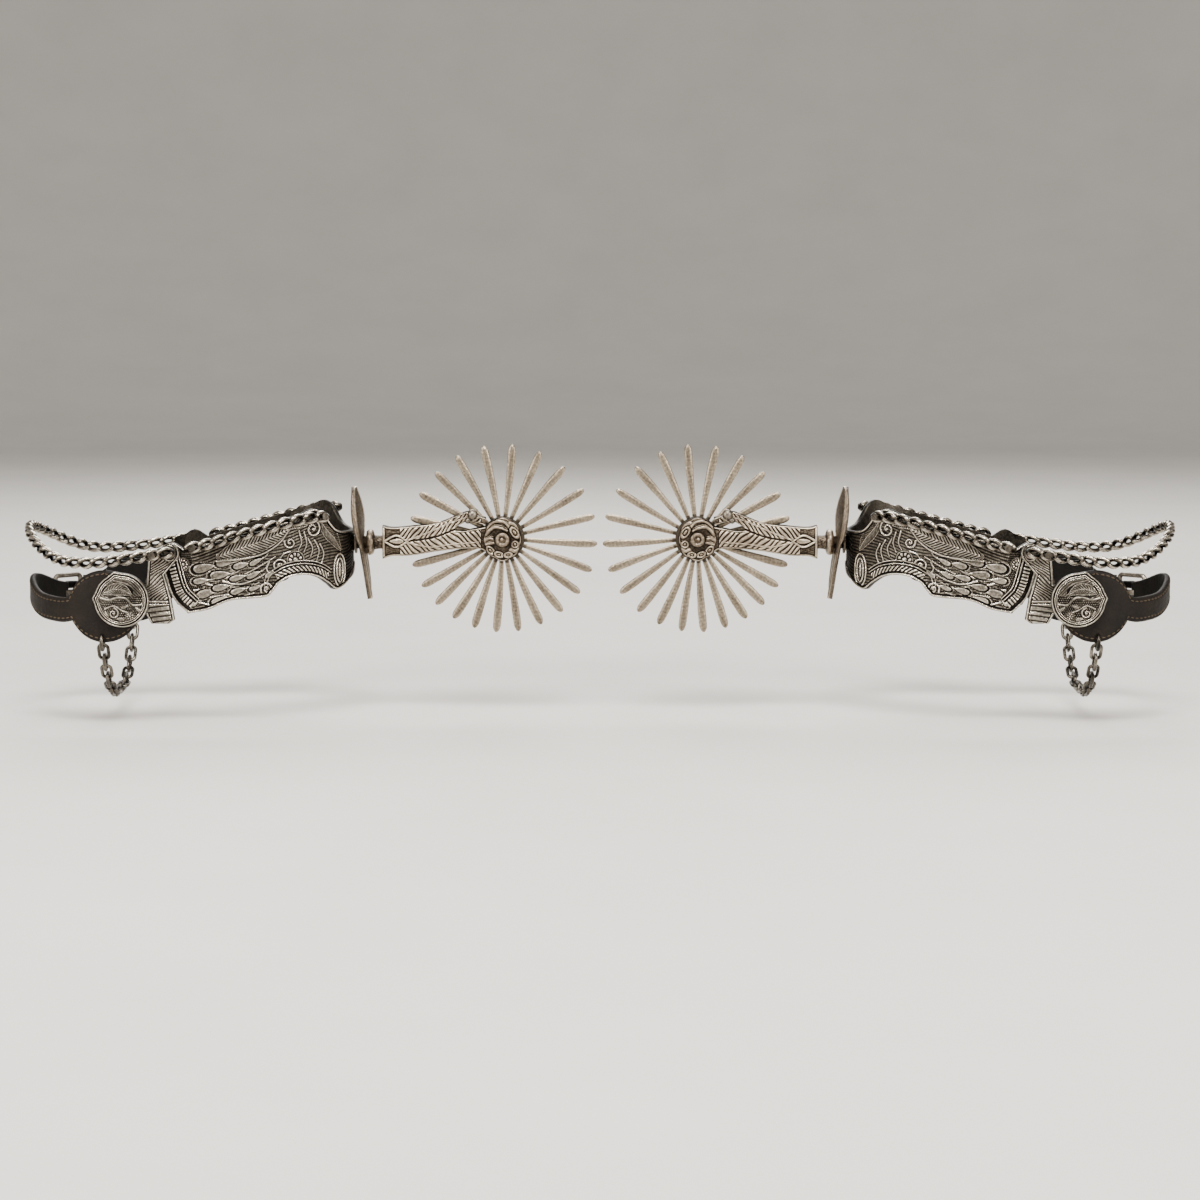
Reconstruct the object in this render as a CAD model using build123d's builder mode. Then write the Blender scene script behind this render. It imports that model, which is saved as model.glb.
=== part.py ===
"""A pair of western dress spurs, left and right mirror images, standing back to back.

Each piece is drawn once for the left spur. Side outlines are (forward, height) from the rowel's axle, forward
being towards the toe, which is -X on the left spur. The right spur is the mirror image about X = 0.
"""

from build123d import *
from math import cos, pi, radians, sin
import os

# ---- driving dimensions, mm ----
ROWEL_RADIUS = 39.0
ROWEL_POINTS = 23
ROWEL_THICK = 2.2
TIP_GAP = 2.0
HEEL_RADIUS = 32.0
BAND_WALL = 2.5
HEEL_FORWARD = 95.5
LOOP_FORWARD = 155.0
AXLE_HEIGHT = 13.1

# ---- shank and rowel ----
AXLE_X = -(ROWEL_RADIUS + TIP_GAP / 2)
PIN_RADIUS = 2.0
RUNNING = 0.05
SLOT_WIDTH = 3.2
SLOT_RADIUS = ROWEL_RADIUS + 0.8
CHEEK_WALL = 3.2
SHANK_HALF = SLOT_WIDTH / 2 + CHEEK_WALL
ROSETTE_THICK = 1.6
NECK_START = 49.4
COLLAR_START = 52.9
COLLAR_END = 56.3
TANG_RADIUS = 2.6
TANG_HEIGHT = -1.5
TANG_END = 63.4

# ---- heel band and what hangs on it ----
BAND_OUT = HEEL_RADIUS + BAND_WALL
PIVOT = (132.0, -2.9)
PIVOT_RADIUS = 2.2
HANGER_IN = BAND_OUT + 0.3
HANGER_THICK = 2.0
STRAP_IN = 37.0
STRAP_THICK = 2.8
STRAP_OUT = STRAP_IN + STRAP_THICK
STRAP_HALF_WIDTH = 5.0
CONCHO = (150.6, -21.3)
CONCHO_RADIUS = 11.2
CONCHO_IN = STRAP_OUT + 0.3
LOBE = (158.0, -24.0)
LOBE_RADIUS = 14.5
HOOK_EYE = (159.0, -35.6)
HOOK_EYE_RADIUS = 1.35

# ---- chain ----
PITCH = 5.4
CURB_REACH = 3.9
CURB_BEND = 2.05
CURB_WIRE = 0.87
HEEL_REACH = 3.6
HEEL_BEND = 1.9
HEEL_WIRE = 0.7
BAND_CHAIN_RADIUS = 37.0
INSTEP_CHAIN_RADIUS = 39.3

# ---- buckle, by angle from straight ahead towards the inner side ----
FRONT_BAR = 34.0
HEEL_BAR = 52.0
BAR_RADIUS = 1.0
BAR_PLACE = 41.3
BUCKLE_HEIGHT = -25.3

REACH = 80.0

side = Plane(origin=(AXLE_X, 0, AXLE_HEIGHT), x_dir=(-1, 0, 0), z_dir=(0, 1, 0))
plan = Plane(origin=(AXLE_X, 0, AXLE_HEIGHT), x_dir=(-1, 0, 0), z_dir=(0, 0, -1))
lengthwise = Plane(origin=(AXLE_X, 0, AXLE_HEIGHT + TANG_HEIGHT), x_dir=(0, 1, 0), z_dir=(-1, 0, 0))
rivet_seat = Plane(lengthwise.offset(TANG_END - 0.75).location)

os.makedirs("parts", exist_ok=True)


def save(piece, label):
    """Label a finished piece and write it."""
    piece.part.label = label
    export_step(piece.part, f"parts/{label}.step")


def at_place(forward, across, height):
    """A point of the left spur in the model's frame."""
    return (AXLE_X - forward, across, AXLE_HEIGHT + height)


def on_loop(radius, angle):
    """A plan point on the strap's front loop; angle 0 is straight ahead, 90 the inner side."""
    return (LOOP_FORWARD + radius * cos(radians(angle)), radius * sin(radians(angle)))


def loop_sector(inner, outer, start, end):
    """Outline a stretch of the front loop's wall between two radii and two angles."""
    middle = (start + end) / 2
    ThreePointArc(on_loop(outer, start), on_loop(outer, middle), on_loop(outer, end))
    Line(on_loop(outer, end), on_loop(inner, end))
    ThreePointArc(on_loop(inner, end), on_loop(inner, middle), on_loop(inner, start))
    Line(on_loop(inner, start), on_loop(outer, start))


# ---- heel band: a U-shaped wall trimmed to its scalloped side outline ----
BAND_EAR = 4.0
SINK_SMALL = TANG_RADIUS + 0.1
SINK_LARGE = 4.6
SINK_DEPTH = 1.6
with BuildPart() as left_heel_band:
    with BuildSketch(plan):
        with Locations((HEEL_FORWARD, 0)):
            Circle(BAND_OUT)
            Circle(HEEL_RADIUS, mode=Mode.SUBTRACT)
        with Locations((HEEL_FORWARD + REACH / 2, 0)):
            Rectangle(REACH, 2 * BAND_OUT + 2, mode=Mode.SUBTRACT)
            Rectangle(REACH, 2 * BAND_OUT)
            Rectangle(REACH, 2 * HEEL_RADIUS, mode=Mode.SUBTRACT)
    extrude(amount=REACH, both=True)
    with BuildSketch(side):
        with BuildLine():
            top = Spline((60, 3.4), (66.5, 5.4), (71.2, 12.2), (75.0, 14.2), (79.5, 12.6))
            edge = Line(top @ 1, (PIVOT[0] - 6, -1.6))
            brow = Spline(edge @ 1, (PIVOT[0] - 1.2, PIVOT[1] + BAND_EAR),
                          (PIVOT[0] + BAND_EAR, PIVOT[1] - 0.4))
            nose = Spline(brow @ 1, (135, -9), (131.5, -20.5), (125.2, -27.4))
            hem = Spline(nose @ 1, (117, -25.8), (108, -22.2), (94.5, -20.8))
            scroll = Spline(hem @ 1, (91.2, -18.6), (88.6, -15.2))
            arch = ThreePointArc(scroll @ 1, (79, -12.2), (69.6, -16.4))
            heel = Spline(arch @ 1, (66.4, -19.2), (62.6, -16.4), (60.4, -9.4))
            Line(heel @ 1, top @ 0)
        make_face()
        with Locations(PIVOT):
            Circle(BAND_EAR)
    extrude(amount=REACH, both=True, mode=Mode.INTERSECT)
    with BuildSketch(side):
        with Locations(PIVOT):
            Circle(PIVOT_RADIUS + RUNNING)
    extrude(amount=REACH, both=True, mode=Mode.SUBTRACT)
    with BuildSketch(lengthwise.offset(TANG_END - 5)):
        Circle(TANG_RADIUS + RUNNING)
    extrude(amount=6, mode=Mode.SUBTRACT)
    with Locations(rivet_seat):
        Cone(SINK_SMALL, SINK_LARGE, SINK_DEPTH, mode=Mode.SUBTRACT)
save(left_heel_band, "left_heel_band")

# ---- tang rivet: the countersunk ring that closes the tang inside the heel seat ----
with BuildPart() as left_tang_rivet:
    with Locations(rivet_seat):
        Cone(SINK_SMALL + 0.1, SINK_LARGE - 0.2, SINK_DEPTH - 0.2)
        Cylinder(TANG_RADIUS + 0.02, 2 * SINK_DEPTH, mode=Mode.SUBTRACT)
save(left_tang_rivet, "left_tang_rivet")

# ---- guard plate: a pointed leaf standing across the shank, leaning towards the toe ----
PLATE_LEAN = 7.7
PLATE_THICK = 1.8
PLATE_EDGE = ((7.2, -14.0), (10.0, 0.0), (8.2, 12.0), (3.6, 20.2))
PLATE_FOOT = (0.0, -23.4)
PLATE_TIP = (0.0, 23.6)
plate_plane = Plane(
    origin=at_place(58.2, 0, -1.9),
    x_dir=(0, 1, 0),
    z_dir=(-cos(radians(PLATE_LEAN)), 0, -sin(radians(PLATE_LEAN))),
)
with BuildPart() as left_guard_plate:
    with BuildSketch(plate_plane.offset(-PLATE_THICK / 2)):
        with BuildLine():
            for hand in (1, -1):
                Spline(PLATE_FOOT, *[(hand * across, height) for across, height in PLATE_EDGE], PLATE_TIP)
        make_face()
    extrude(amount=PLATE_THICK)
    with BuildSketch(lengthwise.offset(COLLAR_END)):
        Circle(TANG_RADIUS + 0.1)
    extrude(amount=6, mode=Mode.SUBTRACT)
save(left_guard_plate, "left_guard_plate")

# ---- washer between the plate and the band ----
WASHER_START = 60.1
WASHER_RADIUS = 4.6
WASHER_THICK = 0.75
with BuildPart() as left_plate_washer:
    with BuildSketch(lengthwise.offset(WASHER_START)):
        Circle(WASHER_RADIUS)
        Circle(TANG_RADIUS + RUNNING, mode=Mode.SUBTRACT)
    extrude(amount=WASHER_THICK)
save(left_plate_washer, "left_plate_washer")

# ---- collar: a turned boss with the tang that goes through plate, washer and band ----
COLLAR_RADIUS = 5.4
with BuildPart() as left_shank_collar:
    with BuildSketch(lengthwise.offset(COLLAR_START)):
        Circle(COLLAR_RADIUS)
    extrude(amount=COLLAR_END - COLLAR_START)
    chamfer(left_shank_collar.edges().filter_by(GeomType.CIRCLE), 1.0)
    with BuildSketch(lengthwise.offset(COLLAR_START + 1)):
        Circle(TANG_RADIUS)
    extrude(amount=TANG_END - COLLAR_START - 1)
save(left_shank_collar, "left_shank_collar")

# ---- shank: a carved neck that forks into two cheeks round the rowel ----
HUB_LONG = 9.2
HUB_WIDE = 7.8
NECK_RADIUS = 3.2
CHEVRONS = 6
CHEVRON_START = 24.0
CHEVRON_PITCH = 3.6
CHEVRON_DEPTH = 0.5
with BuildPart() as left_shank:
    with BuildSketch(side):
        with BuildLine():
            back = Spline((6.2, 7.0), (10.5, 10.4), (14.6, 11.4), (19.5, 9.4), (27, 6.6), (38, 5.2),
                          (NECK_START, 5.4))
            root = Line(back @ 1, (NECK_START, -8.2))
            Spline(root @ 1, (38, -6.8), (25, -4.8), (14, -3.9), (6.4, -4.4))
            Line((6.4, -4.4), (6.2, 7.0))
        make_face()
        Ellipse(HUB_WIDE, HUB_LONG)
        with BuildLine():
            window = Spline((11.4, 6.8), (14.8, 7.1), (20.4, 4.0))
            Spline(window @ 1, (15.6, 3.5), (11.8, 4.2))
            Line((11.8, 4.2), window @ 0)
        make_face(mode=Mode.SUBTRACT)
    extrude(amount=SHANK_HALF, both=True)
    with BuildSketch(side):
        Circle(SLOT_RADIUS)
    extrude(amount=SLOT_WIDTH / 2, both=True, mode=Mode.SUBTRACT)
    with BuildSketch(side):
        Circle(PIN_RADIUS + RUNNING)
    extrude(amount=REACH, both=True, mode=Mode.SUBTRACT)
    with BuildSketch(side.offset(-SHANK_HALF), side.offset(SHANK_HALF)):
        for step in range(CHEVRONS):
            tip = CHEVRON_START + CHEVRON_PITCH * step
            with BuildLine():
                Polyline((tip, 0.2), (tip + 3, 4.4), (tip + 4.2, 4.4), (tip + 1.6, -0.8),
                         (tip + 4.2, -4.6), (tip + 3, -4.6), (tip, 0.2))
            make_face()
    extrude(amount=CHEVRON_DEPTH, both=True, mode=Mode.SUBTRACT)
    with BuildSketch(lengthwise.offset(NECK_START - 0.5)):
        Circle(NECK_RADIUS)
    extrude(amount=COLLAR_START - NECK_START + 0.5)
save(left_shank, "left_shank")

# ---- ball knobs on the cheeks' upper branches ----
BALL = (12.3, 10.2)
BALL_RADIUS = 2.2
with BuildPart() as left_shank_balls:
    with Locations(at_place(BALL[0], -SHANK_HALF, BALL[1]), at_place(BALL[0], SHANK_HALF, BALL[1])):
        Sphere(BALL_RADIUS)
    with BuildSketch(side):
        with Locations(BALL):
            Circle(BALL_RADIUS + 1)
    extrude(amount=SHANK_HALF, both=True, mode=Mode.SUBTRACT)
save(left_shank_balls, "left_shank_balls")

# ---- rowel: hand-cut points, closer together at the bottom than at the top ----
ROWEL_HUB = 9.0
UNEVEN_DEGREES = 7.5
UNEVEN_PHASE = 150.0
FIRST_POINT = 3.2
with BuildPart() as left_rowel:
    with BuildSketch(side.offset(-ROWEL_THICK / 2)):
        for point in range(ROWEL_POINTS):
            even = FIRST_POINT + 360.0 * point / ROWEL_POINTS
            turn = even + UNEVEN_DEGREES * cos(radians(even - UNEVEN_PHASE))
            with Locations(Location((0, 0), 180.0 - turn)):
                with BuildSketch(mode=Mode.PRIVATE) as spike:
                    with BuildLine():
                        flank = Line((6.0, 0.75), (30.0, 1.62))
                        Bezier(flank @ 1, (35.5, 1.82), (ROWEL_RADIUS, 1.3), (ROWEL_RADIUS, 0))
                        Bezier((ROWEL_RADIUS, 0), (ROWEL_RADIUS, -1.3), (35.5, -1.82), (30.0, -1.62))
                        Line((30.0, -1.62), (6.0, -0.75))
                        Line((6.0, -0.75), (6.0, 0.75))
                    make_face()
                add(spike.sketch)
        Circle(ROWEL_HUB)
    extrude(amount=ROWEL_THICK)
    with BuildSketch(side):
        Circle(PIN_RADIUS + RUNNING)
    extrude(amount=REACH, both=True, mode=Mode.SUBTRACT)
save(left_rowel, "left_rowel")

# ---- rowel pin, with a domed head on each side ----
HEAD_BASE = SHANK_HALF + ROSETTE_THICK + 0.05
HEAD_RADIUS = 3.0
HEAD_TALL = 1.5
with BuildPart() as left_rowel_pin:
    with BuildSketch(side):
        Circle(PIN_RADIUS)
    extrude(amount=HEAD_BASE + 0.1, both=True)
    for hand in (1, -1):
        with BuildSketch(side.offset(hand * HEAD_BASE)):
            Circle(HEAD_RADIUS)
        extrude(amount=hand * HEAD_TALL)
    fillet(left_rowel_pin.faces().sort_by(Axis.Y)[0].edges(), 1.2)
    fillet(left_rowel_pin.faces().sort_by(Axis.Y)[-1].edges(), 1.2)
save(left_rowel_pin, "left_rowel_pin")

# ---- rosettes: petalled plates over the pin on each cheek ----
PETALS = 8
PETAL_RADIUS = 2.8
PETAL_WIDE = 5.2
PETAL_LONG = 6.4
with BuildPart() as left_outer_rosette:
    with BuildSketch(side.offset(-SHANK_HALF - ROSETTE_THICK)):
        Ellipse(PETAL_WIDE + 1.2, PETAL_LONG + 1)
        for petal in range(PETALS):
            angle = 2 * pi * petal / PETALS
            with Locations((PETAL_WIDE * cos(angle), PETAL_LONG * sin(angle))):
                Circle(PETAL_RADIUS)
        Circle(PIN_RADIUS + RUNNING, mode=Mode.SUBTRACT)
    extrude(amount=ROSETTE_THICK)
save(left_outer_rosette, "left_outer_rosette")

with BuildPart() as left_inner_rosette:
    mirror(left_outer_rosette.part, about=Plane.XZ)
save(left_inner_rosette, "left_inner_rosette")

# ---- hanger: an eye on the band's pivot, a grooved plate, a stud pad and a tab for the strap button ----
GROOVES = 4
GROOVE_START = -24.2
GROOVE_PITCH = 2.0
GROOVE_DEPTH = 0.6
STUD_PAD = (138.2, -4.2)
STUD_PAD_RADIUS = 2.6
TAB_RADIUS = 5.5
BUTTON_RADIUS = 2.5
with BuildPart() as left_outer_hanger:
    with BuildSketch(side.offset(-HANGER_IN - HANGER_THICK)):
        with BuildLine():
            Polyline((129.5, -6), (134.2, -11.5), (131.6, -21), (130.2, -29.6), (132.4, -31.2),
                     (139.6, -31.2), (141.4, -28), (CONCHO[0], -26.8), (CONCHO[0], -15.8), (141.4, -15.4),
                     (141.0, -11.5), (135.6, -3.6), (129.5, -6))
        make_face()
        with Locations(PIVOT):
            Circle(BAND_EAR)
        with Locations(CONCHO):
            Circle(TAB_RADIUS)
        with Locations(STUD_PAD):
            Circle(STUD_PAD_RADIUS)
    extrude(amount=HANGER_THICK)
    with BuildSketch(side):
        with Locations(PIVOT):
            Circle(PIVOT_RADIUS + RUNNING)
        with Locations(CONCHO):
            Circle(BUTTON_RADIUS + RUNNING)
    extrude(amount=REACH, both=True, mode=Mode.SUBTRACT)
    with BuildSketch(side.offset(-HANGER_IN - HANGER_THICK)):
        for groove in range(GROOVES):
            with Locations((136.4, GROOVE_START - GROOVE_PITCH * groove)):
                Rectangle(7.0, 0.9)
    extrude(amount=GROOVE_DEPTH, mode=Mode.SUBTRACT)
save(left_outer_hanger, "left_outer_hanger")

with BuildPart() as left_inner_hanger:
    mirror(left_outer_hanger.part, about=Plane.XZ)
save(left_inner_hanger, "left_inner_hanger")

# ---- hanger pins: flush rivets through each arm of the band and its hanger ----
PIN_INSIDE = HEEL_RADIUS + 0.1
PIN_LENGTH = HANGER_IN + HANGER_THICK - PIN_INSIDE
with BuildPart() as left_hanger_pins:
    with BuildSketch(side.offset(-PIN_INSIDE - PIN_LENGTH), side.offset(PIN_INSIDE)):
        with Locations(PIVOT):
            Circle(PIVOT_RADIUS)
    extrude(amount=PIN_LENGTH)
save(left_hanger_pins, "left_hanger_pins")

# ---- leather: an upright wall standing on a plan outline, trimmed to a side outline ----
STRIP_ROUTE = ((157, -13.5), (162, -17.6), (167.5, -22.6), (173, -25.6), (180, -25.8), (188, -24), (196, -17))


def strip_edges():
    """Outline the strap from the side: a constant upright width, rising to the instep."""
    upper = Spline(*[(forward, height + STRAP_HALF_WIDTH) for forward, height in STRIP_ROUTE])
    lower = Spline(*[(forward, height - STRAP_HALF_WIDTH) for forward, height in STRIP_ROUTE])
    Line(upper @ 0, lower @ 0)
    Line(upper @ 1, lower @ 1)


def lobe_with_holes():
    """The strap's round end behind the concho, holed for the button and the chain hook."""
    with Locations(LOBE):
        Circle(LOBE_RADIUS)
    with Locations(CONCHO):
        Circle(BUTTON_RADIUS + 0.1, mode=Mode.SUBTRACT)
    with Locations(HOOK_EYE):
        Circle(HOOK_EYE_RADIUS, mode=Mode.SUBTRACT)


RAMP_START = 38.0
RAMP_END = 47.0
TIP_IN = 43.2
TIP_OUT = TIP_IN + 2.4
TIP_END = 68.0
with BuildPart() as strap_tip:
    with BuildSketch(plan):
        with BuildLine():
            loop_sector(TIP_IN, TIP_OUT, RAMP_END, TIP_END)
        make_face()
        with BuildLine():
            Polyline(on_loop(STRAP_IN, RAMP_START - 1), on_loop(STRAP_OUT, RAMP_START - 1),
                     on_loop(TIP_OUT, RAMP_END + 0.5), on_loop(TIP_IN, RAMP_END + 0.5),
                     on_loop(STRAP_IN, RAMP_START + 1), on_loop(STRAP_IN, RAMP_START - 1))
        make_face()
    extrude(amount=REACH, both=True)
    with BuildSketch(side):
        with BuildLine():
            strip_edges()
        make_face()
    extrude(amount=REACH, both=True, mode=Mode.INTERSECT)

TONGUE_SLOT = 3.0
with BuildPart() as left_outer_strap:
    with BuildSketch(plan):
        with BuildLine():
            loop_sector(STRAP_IN, STRAP_OUT, -90, RAMP_START)
        make_face()
        with Locations((LOOP_FORWARD - 10, -(STRAP_IN + STRAP_OUT) / 2)):
            Rectangle(20, STRAP_THICK)
    extrude(amount=REACH, both=True)
    with BuildSketch(side):
        with BuildLine():
            strip_edges()
        make_face()
        lobe_with_holes()
    extrude(amount=REACH, both=True, mode=Mode.INTERSECT)
    add(strap_tip.part)
    with BuildSketch(plan.offset(-BUCKLE_HEIGHT)):
        with BuildLine():
            loop_sector(STRAP_IN - 2, TIP_IN + 5, RAMP_START - 1.5, HEEL_BAR + 3.5)
        make_face()
    extrude(amount=TONGUE_SLOT / 2, both=True, mode=Mode.SUBTRACT)
save(left_outer_strap, "left_outer_strap")

FOLD_HALF = 3.0
with BuildPart() as left_inner_strap:
    with BuildSketch(plan):
        with BuildLine():
            loop_sector(STRAP_IN, STRAP_OUT, HEEL_BAR - FOLD_HALF, 90)
        make_face()
        with Locations((LOOP_FORWARD - 10, (STRAP_IN + STRAP_OUT) / 2)):
            Rectangle(20, STRAP_THICK)
        with BuildLine():
            loop_sector(STRAP_OUT - 1, TIP_IN - 0.25, HEEL_BAR - FOLD_HALF, HEEL_BAR + FOLD_HALF)
        make_face()
        with Locations(on_loop(BAR_PLACE, HEEL_BAR)):
            Circle(BAR_RADIUS + 0.05, mode=Mode.SUBTRACT)
    extrude(amount=REACH, both=True)
    with BuildSketch(side):
        with BuildLine():
            strip_edges()
        make_face()
        lobe_with_holes()
    extrude(amount=REACH, both=True, mode=Mode.INTERSECT)
    with BuildSketch(plan.offset(-BUCKLE_HEIGHT)):
        with BuildLine():
            loop_sector(STRAP_OUT - 0.9, TIP_IN + 5, HEEL_BAR - FOLD_HALF - 1, HEEL_BAR + FOLD_HALF + 1)
        make_face()
    extrude(amount=TONGUE_SLOT / 2, both=True, mode=Mode.SUBTRACT)
save(left_inner_strap, "left_inner_strap")

# ---- buckle: a wire frame whose back bar carries the strap's fold and the tongue ----
BUCKLE_TURN = (FRONT_BAR + HEEL_BAR) / 2
BAR_APART = 2 * BAR_PLACE * sin(radians(HEEL_BAR - FRONT_BAR) / 2)
BUCKLE_TALL = 15.0
frame_middle = on_loop(BAR_PLACE * cos(radians(HEEL_BAR - FRONT_BAR) / 2), BUCKLE_TURN)
frame_plane = Plane(
    origin=at_place(frame_middle[0], frame_middle[1], BUCKLE_HEIGHT),
    x_dir=(sin(radians(BUCKLE_TURN)), cos(radians(BUCKLE_TURN)), 0),
    z_dir=(-cos(radians(BUCKLE_TURN)), sin(radians(BUCKLE_TURN)), 0),
)
with BuildPart() as left_buckle_frame:
    with BuildLine(frame_plane) as frame_wire:
        FilletPolyline((BAR_APART / 2, BUCKLE_TALL / 2), (-BAR_APART / 2, BUCKLE_TALL / 2),
                       (-BAR_APART / 2, -BUCKLE_TALL / 2), (BAR_APART / 2, -BUCKLE_TALL / 2),
                       radius=1.8, close=True)
    with BuildSketch(Plane(origin=frame_wire.line @ 0, z_dir=frame_wire.line % 0)):
        Circle(BAR_RADIUS)
    sweep()
save(left_buckle_frame, "left_buckle_frame")

# ---- buckle tongue: an eye on the back bar and a finger resting over the front bar ----
TONGUE_HALF_HEIGHT = 1.1
TONGUE_EYE_RADIUS = 1.75
with BuildPart() as left_buckle_tongue:
    with BuildSketch(plan.offset(-BUCKLE_HEIGHT)):
        with Locations(on_loop(BAR_PLACE, HEEL_BAR)):
            Circle(TONGUE_EYE_RADIUS)
        with BuildLine():
            Polyline(on_loop(BAR_PLACE + 1.5, HEEL_BAR), on_loop(BAR_PLACE + 3.0, FRONT_BAR - 2),
                     on_loop(BAR_PLACE + 1.5, FRONT_BAR - 2), on_loop(BAR_PLACE + 1.3, FRONT_BAR + 1.5),
                     on_loop(BAR_PLACE + 0.2, HEEL_BAR - 3), on_loop(BAR_PLACE + 1.5, HEEL_BAR))
        make_face()
        with Locations(on_loop(BAR_PLACE, HEEL_BAR)):
            Circle(BAR_RADIUS + RUNNING, mode=Mode.SUBTRACT)
    extrude(amount=TONGUE_HALF_HEIGHT, both=True)
save(left_buckle_tongue, "left_buckle_tongue")

# ---- keeper: a loop round both layers of the strap ----
KEEPER = (57.0, 60.0)
KEEPER_HEIGHT = -25.7
KEEPER_INNER_HALF = 6.0
KEEPER_WALL = 0.9
with BuildPart() as left_strap_keeper:
    with BuildSketch(plan.offset(-KEEPER_HEIGHT)):
        with BuildLine():
            loop_sector(STRAP_IN - 0.3 - KEEPER_WALL, TIP_OUT + 0.3 + KEEPER_WALL, *KEEPER)
        make_face()
    extrude(amount=KEEPER_INNER_HALF + KEEPER_WALL, both=True)
    with BuildSketch(plan.offset(-KEEPER_HEIGHT)):
        with BuildLine():
            loop_sector(STRAP_IN - 0.3, TIP_OUT + 0.3, KEEPER[0] - 2, KEEPER[1] + 2)
        make_face()
    extrude(amount=KEEPER_INNER_HALF, both=True, mode=Mode.SUBTRACT)
save(left_strap_keeper, "left_strap_keeper")

# ---- concho: a round shield with a pointed top and front corner, over the strap button ----
CONCHO_THICK = 2.6
CONCHO_RIM = 1.5
CONCHO_FACE_RADIUS = CONCHO_RADIUS - 1.4
with BuildPart() as left_outer_concho:
    with BuildSketch(side.offset(-CONCHO_IN - CONCHO_RIM)):
        with Locations(CONCHO):
            Circle(CONCHO_RADIUS)
        with BuildLine():
            Polyline((145.6, -12.2), (153.8, -9.4), (158.6, -13.6), CONCHO, (145.6, -12.2))
        make_face()
        with BuildLine():
            Polyline((160.2, -15.4), (162.6, -20.4), (160.6, -26.4), CONCHO, (160.2, -15.4))
        make_face()
    extrude(amount=CONCHO_RIM)
    with BuildSketch(side.offset(-CONCHO_IN - CONCHO_RIM)):
        with Locations(CONCHO):
            Circle(CONCHO_FACE_RADIUS)
    extrude(amount=CONCHO_RIM - CONCHO_THICK, taper=30)
save(left_outer_concho, "left_outer_concho")

with BuildPart() as left_inner_concho:
    mirror(left_outer_concho.part, about=Plane.XZ)
save(left_inner_concho, "left_inner_concho")

# ---- button posts: through hanger and strap, under each concho ----
POST_IN = HANGER_IN + 0.02
POST_LENGTH = CONCHO_IN - POST_IN
with BuildPart() as left_button_posts:
    with BuildSketch(side.offset(-POST_IN - POST_LENGTH), side.offset(POST_IN)):
        with Locations(CONCHO):
            Circle(BUTTON_RADIUS)
    extrude(amount=POST_LENGTH)
save(left_button_posts, "left_button_posts")

# ---- chain ----
def chain_link(reach, bend, wire):
    """One oval link lying flat, its length along X; reach and bend are to the wire's middle."""
    straight = reach - bend
    with BuildPart() as link:
        with BuildLine():
            Line((0, bend), (straight, bend))
            ThreePointArc((straight, bend), (reach, 0), (straight, -bend))
            Line((straight, -bend), (-straight, -bend))
            ThreePointArc((-straight, -bend), (-reach, 0), (-straight, bend))
            Line((-straight, bend), (0, bend))
        with BuildSketch(Plane(origin=(0, bend, 0), z_dir=(1, 0, 0))):
            Circle(wire)
        sweep()
    return link.part


def link_places(path, start, count, pitch, up, rolls):
    """Places for chain links along a path, each a pitch from the last, rolled one way then the other."""
    places = []
    at = start
    for number in range(count):
        here = Vector(*path(at))
        tangent = (Vector(*path(at + 0.5)) - Vector(*path(at - 0.5))).normalized()
        outward = Vector(*up).cross(tangent).normalized()
        flat = Plane(origin=here, x_dir=tangent, z_dir=outward)
        places.append(Location(flat) * Location((0, 0, 0), (rolls[number % 2], 0, 0)))
        low, high = at, at + 3 * pitch
        while high - low > 1e-4:
            middle = (low + high) / 2
            if (Vector(*path(middle)) - here).length < pitch:
                low = middle
            else:
                high = middle
        at = low
    return places


def even_chain(path, start, end_across, count, up, rolls):
    """Chain places whose last link lands level with the first on the other side, by stretching the pitch."""
    low, high = 0.9 * PITCH, 1.1 * PITCH
    while high - low > 1e-5:
        pitch = (low + high) / 2
        places = link_places(path, start, count, pitch, up, rolls)
        if end_across(places[-1].position):
            high = pitch
        else:
            low = pitch
    return places


CHAIN_ROUTE = (
    (60.0, 10.4), (68.0, 11.2), (74.0, 11.2), (80.0, 10.3), (86.0, 9.0), (118.0, 0.4), (126.0, -1.4),
    (134.0, -2.8), (150.0, -5.2), (158.0, -6.2), (164.0, -6.7), (170.0, -6.7),
)
INSTEP_REACH = 26.0
INSTEP_RISE = 13.5


def chain_height(forward):
    """Height of the curb chain: down along the band's top edge, then up over the instep."""
    for (back, back_height), (front, front_height) in zip(CHAIN_ROUTE, CHAIN_ROUTE[1:]):
        if forward < front:
            share = (forward - back) / (front - back)
            return back_height + share * (front_height - back_height)
    return front_height + INSTEP_RISE * ((forward - front) / INSTEP_REACH) ** 2


def track_path(radius):
    """A route round the outer side, the front loop and the inner side, by distance from the back."""
    quarter = radius * pi / 2
    arm = LOOP_FORWARD - HEEL_FORWARD

    def path(distance):
        if distance < quarter:
            angle = distance / radius
            forward, across = HEEL_FORWARD - radius * cos(angle), -radius * sin(angle)
        elif distance < quarter + arm:
            forward, across = HEEL_FORWARD + distance - quarter, -radius
        elif distance < 3 * quarter + arm:
            angle = (distance - quarter - arm) / radius
            forward, across = LOOP_FORWARD + radius * sin(angle), -radius * cos(angle)
        else:
            forward, across = LOOP_FORWARD - (distance - 3 * quarter - arm), radius
        return at_place(forward, across, chain_height(forward))

    return path


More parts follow.
